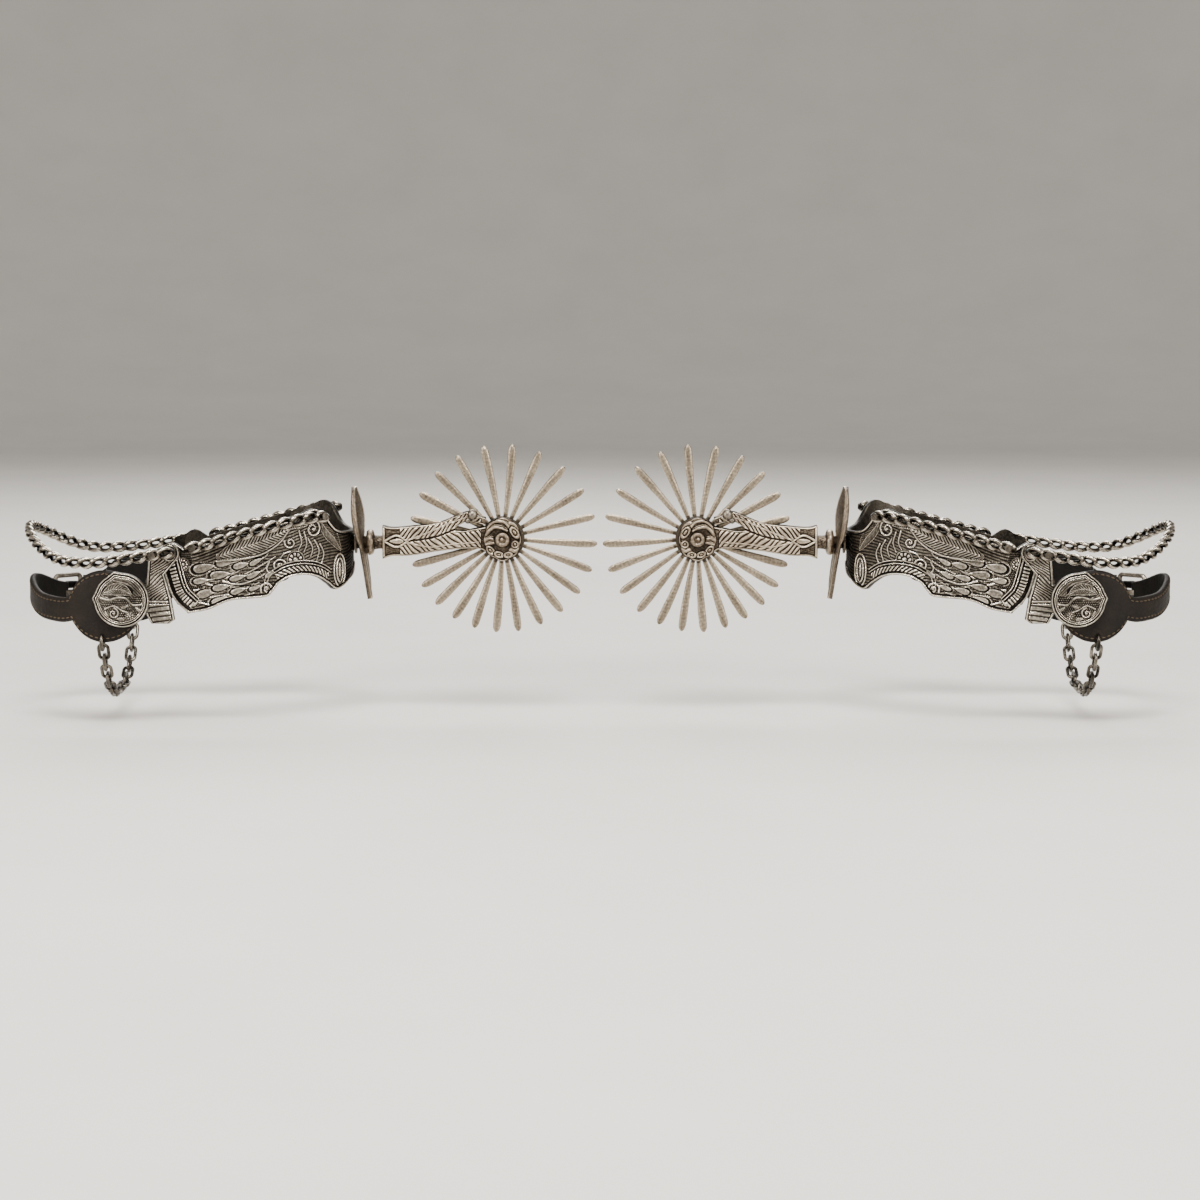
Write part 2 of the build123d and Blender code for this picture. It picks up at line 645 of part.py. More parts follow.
BAND_CHAIN_LINKS = 11
BAND_CHAIN_ANGLE = 50.4
UPRIGHT = (0, 0, 1)
QUARTER_ROLLS = (45, -45)
curb_link = chain_link(CURB_REACH, CURB_BEND, CURB_WIRE)
band_path = track_path(BAND_CHAIN_RADIUS)
BAND_CHAIN_START = BAND_CHAIN_RADIUS * radians(BAND_CHAIN_ANGLE)
band_places = link_places(band_path, BAND_CHAIN_START, BAND_CHAIN_LINKS, PITCH, UPRIGHT, QUARTER_ROLLS)
with BuildPart() as left_outer_band_chain:
    with Locations(*band_places):
        add(curb_link)
save(left_outer_band_chain, "left_outer_band_chain")

with BuildPart() as left_inner_band_chain:
    mirror(left_outer_band_chain.part, about=Plane.XZ)
save(left_inner_band_chain, "left_inner_band_chain")

INSTEP_LINKS = 33
instep_path = track_path(INSTEP_CHAIN_RADIUS)
INSTEP_FORWARD = PIVOT[0] + 1.0
INSTEP_START = INSTEP_CHAIN_RADIUS * pi / 2 + INSTEP_FORWARD - HEEL_FORWARD
instep_places = even_chain(
    instep_path, INSTEP_START, lambda end: end.Y > 0 and AXLE_X - end.X < INSTEP_FORWARD, INSTEP_LINKS,
    UPRIGHT, QUARTER_ROLLS,
)
with BuildPart() as left_instep_chain:
    with Locations(*instep_places):
        add(curb_link)
save(left_instep_chain, "left_instep_chain")

# ---- heel chain: hangs from a ring hook in each strap lobe and passes under the boot ----
HOOK_BEND = 3.0
HOOK_WIRE = 0.75
HOOK_CENTRE = HOOK_EYE[1] + 0.2 - HOOK_BEND
STRAP_MIDDLE = (STRAP_IN + STRAP_OUT) / 2
HANG_SLOPE = 57.0
HANG_REACH = HOOK_BEND - 1.6 + HEEL_REACH
HANG_HALF = STRAP_MIDDLE - HANG_REACH * cos(radians(HANG_SLOPE))
HANG_TOP = HOOK_CENTRE - HANG_REACH * sin(radians(HANG_SLOPE))
HANG_DROP = 19.8
with BuildPart() as left_chain_hooks:
    for across in (-STRAP_MIDDLE, STRAP_MIDDLE):
        with Locations(Location(at_place(HOOK_EYE[0], across, HOOK_CENTRE), (0, 90, 0))):
            Torus(HOOK_BEND, HOOK_WIRE)
save(left_chain_hooks, "left_chain_hooks")


def hanging_path(inward):
    """The heel chain's route across the spur, a slack arc between the two hooks."""
    across = inward - HANG_HALF
    sag = HANG_DROP * (1 - abs(across / HANG_HALF) ** 3)
    return at_place(HOOK_EYE[0], across, HANG_TOP - sag)


HEEL_LINKS = 17
heel_link = chain_link(HEEL_REACH, HEEL_BEND, HEEL_WIRE)
heel_places = even_chain(
    hanging_path, 0.0, lambda end: end.Y > HANG_HALF, HEEL_LINKS, (1, 0, 0), (0, 90)
)
with BuildPart() as left_heel_chain:
    with Locations(*heel_places):
        add(heel_link)
save(left_heel_chain, "left_heel_chain")

# ---- chain studs: headed pins through the band chain's end links ----
def stud(place, face_radius, chain_radius):
    """Where a headed pin stands on a wall, and its length out through the middle of a rolled link."""
    back = AXLE_X - HEEL_FORWARD
    away = Vector(max(place.position.X - back, 0), place.position.Y, 0).normalized()
    gap = chain_radius - face_radius
    length = gap + CURB_BEND * sin(pi / 4) + CURB_WIRE + 0.15
    return Plane(origin=place.position - away * gap, z_dir=away), length


STUD_RADIUS = 0.5
STUD_HEAD = 1.5
HEAD_THICK = 0.7
with BuildPart() as left_chain_studs:
    for place in (band_places[0], band_places[-1]):
        pin_plane, length = stud(place, BAND_OUT + 0.02, BAND_CHAIN_RADIUS)
        with BuildSketch(pin_plane):
            Circle(STUD_RADIUS)
        extrude(amount=length)
        with BuildSketch(pin_plane.offset(length)):
            Circle(STUD_HEAD)
        extrude(amount=HEAD_THICK)
    mirror(left_chain_studs.part, about=Plane.XZ)
save(left_chain_studs, "left_chain_studs")

# ---- instep studs: hold the instep chain's end links on the hangers' eyes ----
with BuildPart() as left_instep_studs:
    pin_plane, length = stud(instep_places[1], HANGER_IN + HANGER_THICK + 0.02, INSTEP_CHAIN_RADIUS)
    with BuildSketch(pin_plane):
        Circle(STUD_RADIUS)
    extrude(amount=length)
    with BuildSketch(pin_plane.offset(length)):
        Circle(STUD_HEAD)
    extrude(amount=HEAD_THICK)
    mirror(left_instep_studs.part, about=Plane.XZ)
save(left_instep_studs, "left_instep_studs")

# ---- the right spur: every piece mirrored about the pair's middle plane ----
LEFT_PIECES = (
    left_heel_band, left_tang_rivet, left_guard_plate, left_plate_washer, left_shank_collar, left_shank,
    left_shank_balls, left_rowel, left_rowel_pin, left_outer_rosette, left_inner_rosette, left_outer_hanger,
    left_inner_hanger, left_hanger_pins, left_outer_strap, left_inner_strap, left_buckle_frame,
    left_buckle_tongue, left_strap_keeper, left_outer_concho, left_inner_concho, left_button_posts,
    left_outer_band_chain, left_inner_band_chain, left_instep_chain, left_chain_hooks, left_heel_chain,
    left_chain_studs, left_instep_studs,
)
for left_piece in LEFT_PIECES:
    with BuildPart() as right_piece:
        mirror(left_piece.part, about=Plane.YZ)
    save(right_piece, left_piece.part.label.replace("left", "right"))
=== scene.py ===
"""Looks for a pair of western dress spurs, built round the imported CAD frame.

Places are (forward, across, height) in millimetres from each rowel's axle, forward being towards the toe;
the right spur is the mirror image of the left one.
"""

import math

import bmesh
import bpy
import numpy as np
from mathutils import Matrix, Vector


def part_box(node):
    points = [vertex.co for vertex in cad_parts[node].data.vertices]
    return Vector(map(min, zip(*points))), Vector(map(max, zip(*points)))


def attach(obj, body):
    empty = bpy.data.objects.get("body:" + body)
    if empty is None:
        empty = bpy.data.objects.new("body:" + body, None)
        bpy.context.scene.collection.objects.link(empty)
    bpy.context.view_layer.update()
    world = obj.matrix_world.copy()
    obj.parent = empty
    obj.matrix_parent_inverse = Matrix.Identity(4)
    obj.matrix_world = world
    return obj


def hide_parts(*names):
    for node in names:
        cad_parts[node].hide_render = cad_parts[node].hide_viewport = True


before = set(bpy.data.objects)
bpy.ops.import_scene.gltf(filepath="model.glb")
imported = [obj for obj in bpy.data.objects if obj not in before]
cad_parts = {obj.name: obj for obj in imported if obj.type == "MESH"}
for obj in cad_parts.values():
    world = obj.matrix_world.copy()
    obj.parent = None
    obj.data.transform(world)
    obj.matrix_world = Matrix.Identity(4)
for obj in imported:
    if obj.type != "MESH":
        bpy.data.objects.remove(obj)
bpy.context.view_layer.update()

# ---- the shared frame ----
MM = 0.001
SIDES = {"left": -1.0, "right": 1.0}
HANDS = (("outer", -1.0), ("inner", 1.0))
PIN_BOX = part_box("left_rowel_pin")
AXLE_X = abs(PIN_BOX[0].x + PIN_BOX[1].x) / 2
AXLE_Z = (PIN_BOX[0].z + PIN_BOX[1].z) / 2
GROUND_BELOW_AXLE = 73.0

# ---- sizes repeated from the CAD part, mm ----
HEEL_RADIUS = 32.0
BAND_OUT = 34.5
HEEL_FORWARD = 95.5
LOOP_FORWARD = 155.0
ROWEL_POINTS = 23
SHANK_HALF = 4.8
SLOT_HALF = 1.6
NECK_START = 49.4
COLLAR_START = 52.9
TANG_HEIGHT = -1.5
PIVOT = (132.0, -2.9)
STRAP_IN = 37.0
STRAP_OUT = 39.8
CONCHO = (150.6, -21.3)
CONCHO_RADIUS = 11.2
CONCHO_BACK = STRAP_OUT + 0.3
LOBE = (158.0, -24.0)
LOBE_RADIUS = 14.5


# ---- mesh helpers ----
def to_world(points, side):
    """Millimetres from the side's axle to metres in the row frame."""
    p = np.asarray(points, float)
    sign = SIDES[side]
    return np.column_stack([sign * (AXLE_X + p[:, 0] * MM), p[:, 1] * MM, AXLE_Z + p[:, 2] * MM])


def put(name, data):
    """A new object in the scene."""
    obj = bpy.data.objects.new(name, data)
    bpy.context.scene.collection.objects.link(obj)
    return obj


def make_piece(name, shape, side, body, material, slot, *stands_for):
    """One visible piece. shape is (points, faces, relief); faces is a list of arrays, one row per polygon."""
    points, faces, relief = shape
    mesh = bpy.data.meshes.new(f"{side}_{name}")
    co = to_world(points, side)
    rows = [np.asarray(f) for f in faces if len(f)]
    index = np.concatenate([f.ravel() for f in rows]).astype(np.int32)
    sizes = np.concatenate([np.full(len(f), f.shape[1]) for f in rows]).astype(np.int32)
    starts = np.concatenate([[0], np.cumsum(sizes)[:-1]]).astype(np.int32)
    mesh.vertices.add(len(co))
    mesh.vertices.foreach_set("co", co.astype(np.float32).ravel())
    mesh.loops.add(len(index))
    mesh.loops.foreach_set("vertex_index", index)
    mesh.polygons.add(len(sizes))
    mesh.polygons.foreach_set("loop_start", starts)
    mesh.update(calc_edges=True)
    mesh.validate()
    outward = bmesh.new()
    outward.from_mesh(mesh)
    bmesh.ops.recalc_face_normals(outward, faces=outward.faces)
    outward.to_mesh(mesh)
    outward.free()
    mesh.polygons.foreach_set("use_smooth", np.full(len(mesh.polygons), True))
    level = np.ones(len(co)) if relief is None else np.asarray(relief, float)
    mesh.attributes.new("relief", "FLOAT", "POINT").data.foreach_set("value", level.astype(np.float32))
    mesh.materials.append(material)
    obj = put(f"{side}_{name}", mesh)
    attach(obj, f"{side}_{body}")
    if stands_for:
        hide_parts(*[f"{side}_{node}" for node in stands_for])


def grid_faces(columns, rows, wrap_rows=False, wrap_columns=False):
    """Quads over a grid of points stored column by column."""
    c = np.arange(columns if wrap_columns else columns - 1)
    r = np.arange(rows if wrap_rows else rows - 1)
    cc, rr = np.meshgrid(c, r, indexing="ij")
    c2, r2 = (cc + 1) % columns, (rr + 1) % rows
    return np.stack([cc * rows + rr, c2 * rows + rr, c2 * rows + r2, cc * rows + r2], -1).reshape(-1, 4)


def end_caps(sections, around):
    """The two polygons that close a run of cross-sections."""
    ring = np.arange(around)
    return [ring[None, :], ((sections - 1) * around + ring)[None, ::-1]]


def closed_run(grid, relief):
    """A closed shape from a grid of cross-sections, each a ring of points, with its relief."""
    sections, around = grid.shape[:2]
    faces = [grid_faces(sections, around, wrap_rows=True)] + end_caps(sections, around)
    return grid.reshape(-1, 3), faces, relief.ravel()


def two_faced(front, back, level, back_level):
    """A closed shape between two grids of points; back_level is the back's relief, a number or a grid."""
    back_level = np.broadcast_to(back_level, level.shape)
    return closed_run(np.concatenate([front, back[:, ::-1]], axis=1),
                      np.concatenate([level, back_level[:, ::-1]], axis=1))


def toned(shape, level):
    """A shape with another relief, one number or one for each point."""
    points, faces, _ = shape
    return points, faces, np.broadcast_to(level, len(points))


def spread(first, last, count):
    """Rows of places from one edge to the other, a row for each place along them."""
    return first[:, None] + (last - first)[:, None] * np.linspace(0, 1, count)


def join(parts):
    """Several (points, faces, relief) made into one."""
    points, faces, relief, start = [], [], [], 0
    for p, fs, level in parts:
        points.append(p)
        relief.append(np.ones(len(p)) if level is None else level)
        faces += [f + start for f in fs]
        start += len(p)
    return np.vstack(points), faces, np.concatenate(relief)


def smooth_curve(points, count=60):
    """A Catmull-Rom curve through given points."""
    p = np.array(points, float)
    ext = np.vstack([2 * p[0] - p[1], p, 2 * p[-1] - p[-2]])
    t = np.linspace(0, len(p) - 1 - 1e-9, count)
    i = t.astype(int)
    f = (t - i)[:, None]
    a, b, c, d = ext[i], ext[i + 1], ext[i + 2], ext[i + 3]
    return 0.5 * (2 * b + (c - a) * f + (2 * a - 5 * b + 4 * c - d) * f**2 + (3 * b - a - 3 * c + d) * f**3)


def along(points):
    """Running length at each point of a polyline."""
    return np.concatenate([[0], np.cumsum(np.linalg.norm(np.diff(points, axis=0), axis=1))])


def unit(value):
    """Held between 0 and 1."""
    return np.clip(value, 0, 1)


def dome(value):
    """A half-round rise, 1 at value 0 and 0 from -1 and 1 outwards."""
    return np.sqrt(unit(1 - value**2))


def tent(value):
    """A straight-sided rise, 1 at value 0 and 0 from -1 and 1 outwards."""
    return unit(1 - np.abs(value))


def ripple(run, pitch, power=0.8):
    """Rounded ridges, one to each pitch."""
    return np.abs(np.sin(np.pi * run / pitch)) ** power


def lathe(profile, centre, along_axis, count=72, wobble=0.0):
    """A turned shape from (radius, distance) pairs; along_axis 0 runs forward, 1 across."""
    profile = np.array(profile, float)
    turn = np.linspace(0, 2 * np.pi, count, endpoint=False)
    radius = profile[:, :1] * (1 + wobble * fine_noise(turn[None, :] * 2.0, profile[:, 1:] * 1.3))
    run = np.broadcast_to(profile[:, 1:], radius.shape)
    first, second = radius * np.cos(turn), radius * np.sin(turn)
    order = (run, first, second) if along_axis == 0 else (first, run, second)
    points = np.stack(order, -1).reshape(-1, 3) + np.array(centre, float)
    return points, [grid_faces(len(profile), count, wrap_rows=True)], None


def ball(centre, radius):
    """A round bead."""
    turn = np.linspace(0.02, math.pi - 0.02, 24)
    return lathe(np.column_stack([radius * np.sin(turn), -radius * np.cos(turn)]), centre, 1, 36)


ANY_DIRECTION = (0.31, 0.87, 0.38)


def tube(path, radii, sides=10, closed=False):
    """A tube along a path, capped unless it is closed to a ring."""
    path = np.asarray(path, float)
    count = len(path)
    if closed:
        tangent = np.roll(path, -1, 0) - np.roll(path, 1, 0)
    else:
        tangent = np.gradient(path, axis=0)
    tangent /= np.linalg.norm(tangent, axis=1)[:, None]
    normal = np.cross(tangent[0], ANY_DIRECTION)
    normal /= np.linalg.norm(normal)
    turn = np.linspace(0, 2 * np.pi, sides, endpoint=False)
    radii = np.broadcast_to(radii, count)
    rings = []
    for i in range(count):
        normal = normal - tangent[i] * (normal @ tangent[i])
        normal /= np.linalg.norm(normal)
        ring = np.outer(np.cos(turn), normal) + np.outer(np.sin(turn), np.cross(tangent[i], normal))
        rings.append(path[i] + ring * radii[i])
    faces = [grid_faces(count, sides, wrap_rows=True, wrap_columns=closed)[:, ::-1]]
    if not closed:
        faces += end_caps(count, sides)
    return np.vstack(rings), faces, None


# ---- relief: a height from 0 (ground) to 1 (top) over a flat field of points ----
class Relief:
    """A carved surface: strokes, leaves and rosettes raised on a ground, highest one showing."""

    def __init__(self, x, y):
        self.x, self.y = x, y
        self.level = np.zeros_like(x)

    def raise_to(self, height):
        self.level = np.maximum(self.level, height)

    def sink(self, where, ground):
        self.level = np.where(where, np.minimum(self.level, ground), self.level)

    def clear(self, where, ground):
        self.level = np.where(where, ground, self.level)

    def measure(self, line):
        """Distance to a polyline, distance along it, and the polyline's length, for every point."""
        best = np.full(self.x.shape, 1e9)
        place = np.zeros(self.x.shape)
        lengths = along(line)
        for (ax, ay), (bx, by), start in zip(line[:-1], line[1:], lengths[:-1]):
            dx, dy = bx - ax, by - ay
            span = dx * dx + dy * dy + 1e-12
            t = unit(((self.x - ax) * dx + (self.y - ay) * dy) / span)
            d = np.hypot(self.x - ax - t * dx, self.y - ay - t * dy)
            near = d < best
            best = np.where(near, d, best)
            place = np.where(near, start + t * math.sqrt(span), place)
        return best, place, lengths[-1]

    def measure_near(self, line, margin):
        """Which points are near a polyline, and what measure says of those."""
        lo, hi = line.min(0) - margin, line.max(0) + margin
        near = (self.x > lo[0]) & (self.x < hi[0]) & (self.y > lo[1]) & (self.y < hi[1])
        return near, *Relief(self.x[near], self.y[near]).measure(line)

    def stroke(self, points, width, height=1.0, taper=0.5, count=24):
        """A rounded ridge along a curve, thinner towards its end."""
        near, d, place, length = self.measure_near(smooth_curve(points, count), width)
        half = 0.5 * width * (1 - taper * place / length)
        self.level[near] = np.maximum(self.level[near], height * dome(d / half))

    def spiral(self, centre, radius, turns, width, start=0.0, hand=1.0):
        """A scroll that winds in to its centre, with a bead there."""
        t = np.linspace(0, 1, 14)
        angle = math.radians(start) + hand * t * turns * 2 * math.pi
        r = radius * (1 - 0.82 * t)
        points = np.column_stack([centre[0] + r * np.cos(angle), centre[1] + r * np.sin(angle)])
        self.stroke(points, width, 1.0, taper=0.35, count=44)
        self.raise_to(dome(np.hypot(self.x - centre[0], self.y - centre[1]) / (width * 0.62)))

    def turned(self, centre, angle):
        """Each point's place along and across a direction through the centre."""
        c, s = math.cos(math.radians(angle)), math.sin(math.radians(angle))
        dx, dy = self.x - centre[0], self.y - centre[1]
        return dx * c + dy * s, -dx * s + dy * c

    def link(self, centre, long, wide, angle, width=0.9):
        """An oval ring with a bead in its eye, standing clear of what is under it."""
        px, py = self.turned(centre, angle)
        e = np.hypot(px / long, py / wide)
        middle = 1 - 0.5 * width / wide
        self.sink(e < 1.12, 0.02)
        self.raise_to(dome((e - middle) * 2 * wide / width))
        self.raise_to(0.8 * dome(e / (0.62 * middle)))

    def lobe(self, centre, long, wide, angle, height=0.95, edge=True):
        """A smooth teardrop swelling with a cut line round it."""
        px, py = self.turned(centre, angle)
        e = np.hypot(px / long, py / (wide * (1 - 0.35 * np.clip(px / long, -1, 1))))
        self.sink((e < 1.22) & edge, 0.06)
        self.raise_to(np.where(e < 1, height * (0.45 + 0.55 * dome(e)), 0))
        self.raise_to(height * 0.8 * tent((e - 1.36) / 0.11) * edge)

    def flower(self, centre, radius, petals):
        """A round rosette with a domed middle and a ring of petals."""
        dx, dy = self.x - centre[0], self.y - centre[1]
        r, a = np.hypot(dx, dy) / radius, np.arctan2(dy, dx)
        self.clear(r < 1.1, 0.05)
        petal = np.abs(np.cos(a * petals / 2)) ** 0.6 * dome((r - 0.62) / 0.26)
        self.raise_to(np.where((r > 0.36) & (r < 0.88), 0.85 * petal, 0))
        self.raise_to(dome(r / 0.34))
        self.raise_to(0.85 * tent((r - 1.0) / 0.09))

    def hatched_leaf(self, spine, half_width, pitch, height, lean):
        """A pointed leaf with a spine and slanted veins."""
        near, d, place, length = self.measure_near(smooth_curve(spine, 30), half_width)
        reach = half_width * np.sin(np.pi * unit(0.06 + 0.9 * (place / length))) ** 0.75
        inside = d < reach
        veins = ripple(place - lean * d, pitch)
        level = np.where(inside, height * (0.2 + 0.75 * veins) * (1 - 0.35 * d / (reach + 1e-6)), 0)
        level = np.maximum(level, height * tent((d - reach) / 0.28))
        level = np.maximum(level, tent(d / 0.4))
        self.level[near] = np.maximum(np.where(inside, 0.05, self.level[near]), level)

    def stipple(self, where, spacing, height):
        """Round punched dots over part of the field."""
        row = np.round(self.y / spacing)
        sx = self.x / spacing + 0.5 * (row % 2)
        d = np.hypot(sx - np.round(sx), self.y / spacing - row)
        self.raise_to(np.where(where, height * tent(d / 0.42), 0))


def patina(level, passes=10):
    """How polished each point is: bright on ridges, black in the creases beside them."""
    soft = level
    for _ in range(passes):
        near = np.pad(soft, 1, mode="edge")
        soft = (2 * soft + near[2:, 1:-1] + near[:-2, 1:-1] + near[1:-1, 2:] + near[1:-1, :-2]) / 6
    return unit(0.45 + 1.35 * (level - soft) + 0.35 * (level - 0.35))


def fine_noise(x, y, z=0.0):
    """A smooth, repeatable unevenness between -1 and 1."""
    return (
        np.sin(1.7 * x + 2.3 * y + 1.1 * z) * np.sin(2.9 * x - 1.3 * y + 0.7 * z + 1.0)
        + 0.6 * np.sin(5.1 * x + 4.3 * y - 2.2 * z + 2.0) * np.sin(3.7 * y - 4.9 * x + 0.4)
        + 0.35 * np.sin(11.3 * x - 9.1 * y + 6.1 * z) * np.sin(8.3 * x + 12.7 * y + 0.9)
    ) / 1.95


# ---- materials ----
class Look:
    """A procedural material. Each method adds a node, fed by other nodes' outputs or by plain values."""

    def __init__(self, name):
        self.material = bpy.data.materials.new(name)
        self.material.use_nodes = True
        self.shader = self.material.node_tree.nodes["Principled BSDF"]
        self.place = self.node("TexCoord").outputs["Object"]

    def feed(self, socket, value):
        """Link an output to a socket, or set the socket's own number or colour."""
        if isinstance(value, bpy.types.NodeSocket):
            self.material.node_tree.links.new(value, socket)
        else:
            socket.default_value = (*value, 1.0) if isinstance(value, tuple) else value

    def node(self, kind, **inputs):
        node = self.material.node_tree.nodes.new(f"ShaderNode{kind}")
        for name, value in inputs.items():
            self.feed(node.inputs[name.replace("_", " ")], value)
        return node

    def noise(self, scale, detail=6.0, rough=0.6):
        texture = self.node("TexNoise", Vector=self.place, Scale=scale, Detail=detail, Roughness=rough)
        return texture.outputs["Fac"]

    def cells(self, scale):
        return self.node("TexVoronoi", Vector=self.place, Scale=scale).outputs["Distance"]

    def relief(self):
        """The height and wear that make_piece stores on each point; on the rowel's middle and the chain links
        it also holds painted shade.
        """
        node = self.node("Attribute")
        node.attribute_name = "relief"
        return node.outputs["Fac"]

    def math(self, operation, *values):
        node = self.node("Math")
        node.operation = operation
        for socket, value in zip(node.inputs, values):
            self.feed(socket, value)
        return node.outputs["Value"]

    def add(self, base, value, share):
        """The base plus a share of the value."""
        return self.math("ADD", base, self.math("MULTIPLY", value, share))

    def ramp(self, value, *stops):
        """A colour ramp from (position, colour) stops."""
        node = self.node("ValToRGB", Fac=value)
        elements = node.color_ramp.elements
        while len(elements) < len(stops):
            elements.new(0.5)
        for element, (position, colour) in zip(elements, stops):
            element.position = position
            element.color = (*colour, 1.0)
        return node.outputs["Color"]

    def mix(self, share, first, second):
        """A blend of two colours."""
        node = self.node("Mix", Factor=share)
        node.data_type = "RGBA"
        self.feed(node.inputs[6], first)
        self.feed(node.inputs[7], second)
        return node.outputs[2]

    def set(self, **inputs):
        """Feed the shader's own inputs."""
        for name, value in inputs.items():
            self.feed(self.shader.inputs[name.replace("_", " ")], value)

    def finish(self, worn, roughest, smoothest, height, strength, distance):
        """Roughness that falls as worn rises, and a fine bump."""
        rough = self.node("MapRange", Value=worn, To_Min=roughest, To_Max=smoothest)
        grain = self.node("Bump", Strength=strength, Distance=distance, Height=height)
        self.set(Roughness=rough.outputs["Result"], Normal=grain.outputs["Normal"])
        return self.material


def aged_metal(name, ground, middle, bright, pits=0.35, roughness=(0.3, 0.6), use_relief=True):
    """Old metal, black in its recesses, polished by wear where it stands proud."""
    look = Look(name)
    broad, fine, spots = look.noise(90.0, 5.0, 0.65), look.noise(900.0, 4.0, 0.7), look.cells(1300.0)
    level = look.relief() if use_relief else look.add(0.1, broad, 0.9)
    # the relief of the rowel and the curb chains also holds painted shade, which this ramp turns dark
    worn = look.math("SUBTRACT", look.add(look.add(level, fine, 0.5), broad, 0.45), 0.47)
    colour = look.ramp(worn, (0.0, ground), (0.3, ground), (0.62, middle), (1.0, bright))
    pitted = look.math("MULTIPLY", look.math("GREATER_THAN", 0.2, spots), pits)
    look.set(Base_Color=look.mix(pitted, colour, ground), Metallic=1.0)
    return look.finish(worn, roughness[1], roughness[0], look.add(fine, spots, 0.6), 0.55, 0.00025)


def leather(name, dark, light, pores=1500.0, use_relief=True):
    """Oiled leather or thread: fine grain, creases and rubbed high places."""
    look = Look(name)
    fine = look.noise(600.0, 5.0, 0.6)
    worn = look.math("MULTIPLY", look.noise(70.0), look.relief() if use_relief else 0.8)
    colour = look.ramp(worn, (0.25, dark), (0.75, light))
    look.set(Base_Color=look.mix(look.math("MULTIPLY", fine, 0.35), colour, dark), Specular_IOR_Level=0.14)
    return look.finish(fine, 0.42, 0.68, look.add(fine, look.cells(pores), 0.5), 0.5, 0.0003)


BAND_METAL = aged_metal(
    "blackened_band_silver", (0.008, 0.007, 0.006), (0.098, 0.086, 0.07), (0.68, 0.62, 0.525),
    roughness=(0.22, 0.5))
SHANK_METAL = aged_metal(
    "worn_shank_iron", (0.02, 0.015, 0.011), (0.22, 0.175, 0.13), (0.68, 0.59, 0.47), roughness=(0.28, 0.6))
ROWEL_METAL = aged_metal(
    "pitted_rowel_iron", (0.05, 0.04, 0.03), (0.28, 0.23, 0.17), (0.62, 0.54, 0.43), 0.6, (0.32, 0.6))
CHAIN_METAL = aged_metal(
    "chain_silver", (0.015, 0.013, 0.011), (0.1, 0.088, 0.072), (0.42, 0.38, 0.32),
    roughness=(0.18, 0.36), use_relief=False)
ROPE_METAL = aged_metal(
    "curb_chain_silver", (0.01, 0.008, 0.006), (0.12, 0.105, 0.085), (0.62, 0.56, 0.47),
    roughness=(0.16, 0.34))
FITTING_METAL = aged_metal(
    "plain_fitting_silver", (0.03, 0.026, 0.021), (0.2, 0.175, 0.145), (0.6, 0.54, 0.45),
    roughness=(0.24, 0.45), use_relief=False)
PLAIN_IRON = aged_metal(
    "plain_iron", (0.02, 0.016, 0.012), (0.16, 0.13, 0.1), (0.42, 0.36, 0.28), use_relief=False)
STRAP_LEATHER = leather("dark_strap_leather", (0.002, 0.0015, 0.001), (0.017, 0.0105, 0.007))
KEEPER_LEATHER = leather("keeper_leather", (0.003, 0.002, 0.0015), (0.018, 0.011, 0.007), use_relief=False)
THREAD = leather("waxed_thread", (0.03, 0.02, 0.012), (0.11, 0.08, 0.05), pores=5000.0)

CAD_FINISHES = {
    "tang_rivet": PLAIN_IRON, "plate_washer": PLAIN_IRON, "shank_balls": FITTING_METAL,
    "hanger_pins": FITTING_METAL, "button_posts": FITTING_METAL, "buckle_frame": FITTING_METAL,
    "buckle_tongue": FITTING_METAL, "strap_keeper": KEEPER_LEATHER,
    "heel_chain": CHAIN_METAL, "chain_hooks": CHAIN_METAL,
    "chain_studs": CHAIN_METAL, "instep_studs": CHAIN_METAL,
}


def finish_cad_nodes():
    """Give the CAD nodes that stay visible their finish."""
    for side in SIDES:
        for node, material in CAD_FINISHES.items():
            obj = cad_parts[f"{side}_{node}"]
            for slot in obj.material_slots:
                slot.material = material
            if not obj.material_slots:
                obj.data.materials.append(material)


# ---- upright walls: the heel band and the straps ----
def edge_height(line, forward):
    return np.interp(forward, line[:, 0], line[:, 1])


BAND_TOP = np.vstack([
    smooth_curve([(60.6, 3.5), (66.5, 5.4), (71.2, 12.2), (75.0, 14.2), (79.5, 12.6)], 120),
    smooth_curve([(79.6, 12.57), (126, -1.6)], 10),
    smooth_curve([(126.2, -1.5), (130.8, 1.1), (134.4, -0.6), (136, -3.6)], 60),
])
BAND_NOSE = smooth_curve([(136, -3.9), (135, -9), (131.5, -20.5), (125.2, -27.4)], 90)
BAND_HEM = smooth_curve([(125.2, -27.4), (117, -25.8), (108, -22.2), (94.5, -20.8), (91.2, -18.6),
                         (88.6, -15.2)], 120)
BAND_ARCH = smooth_curve([(88.6, -15.2), (84.4, -13.0), (79, -12.2), (73.6, -13.4), (69.6, -16.4)], 60)
BAND_HEEL = smooth_curve([(69.6, -16.4), (66.4, -19.2), (62.6, -16.4), (60.6, -9.8)], 60)
BAND_BOTTOM = np.vstack([BAND_NOSE, BAND_HEM[1:], BAND_ARCH[1:], BAND_HEEL[1:]])[::-1]
CURVED_LENGTH = BAND_OUT * math.pi / 2


def track_length(forward):
    """Distance round the band's outer face from its back, for a point seen at this forward place."""
    forward = np.asarray(forward, float)
    curved = BAND_OUT * np.arccos(np.clip((HEEL_FORWARD - forward) / BAND_OUT, -1, 1))
    return np.where(forward < HEEL_FORWARD, curved, CURVED_LENGTH + forward - HEEL_FORWARD)


def unrolled(*points):
    """Side-view points laid out flat as (distance round the band, height)."""
    p = np.array(points, float)
    return np.column_stack([track_length(p[:, 0]), p[:, 1]])


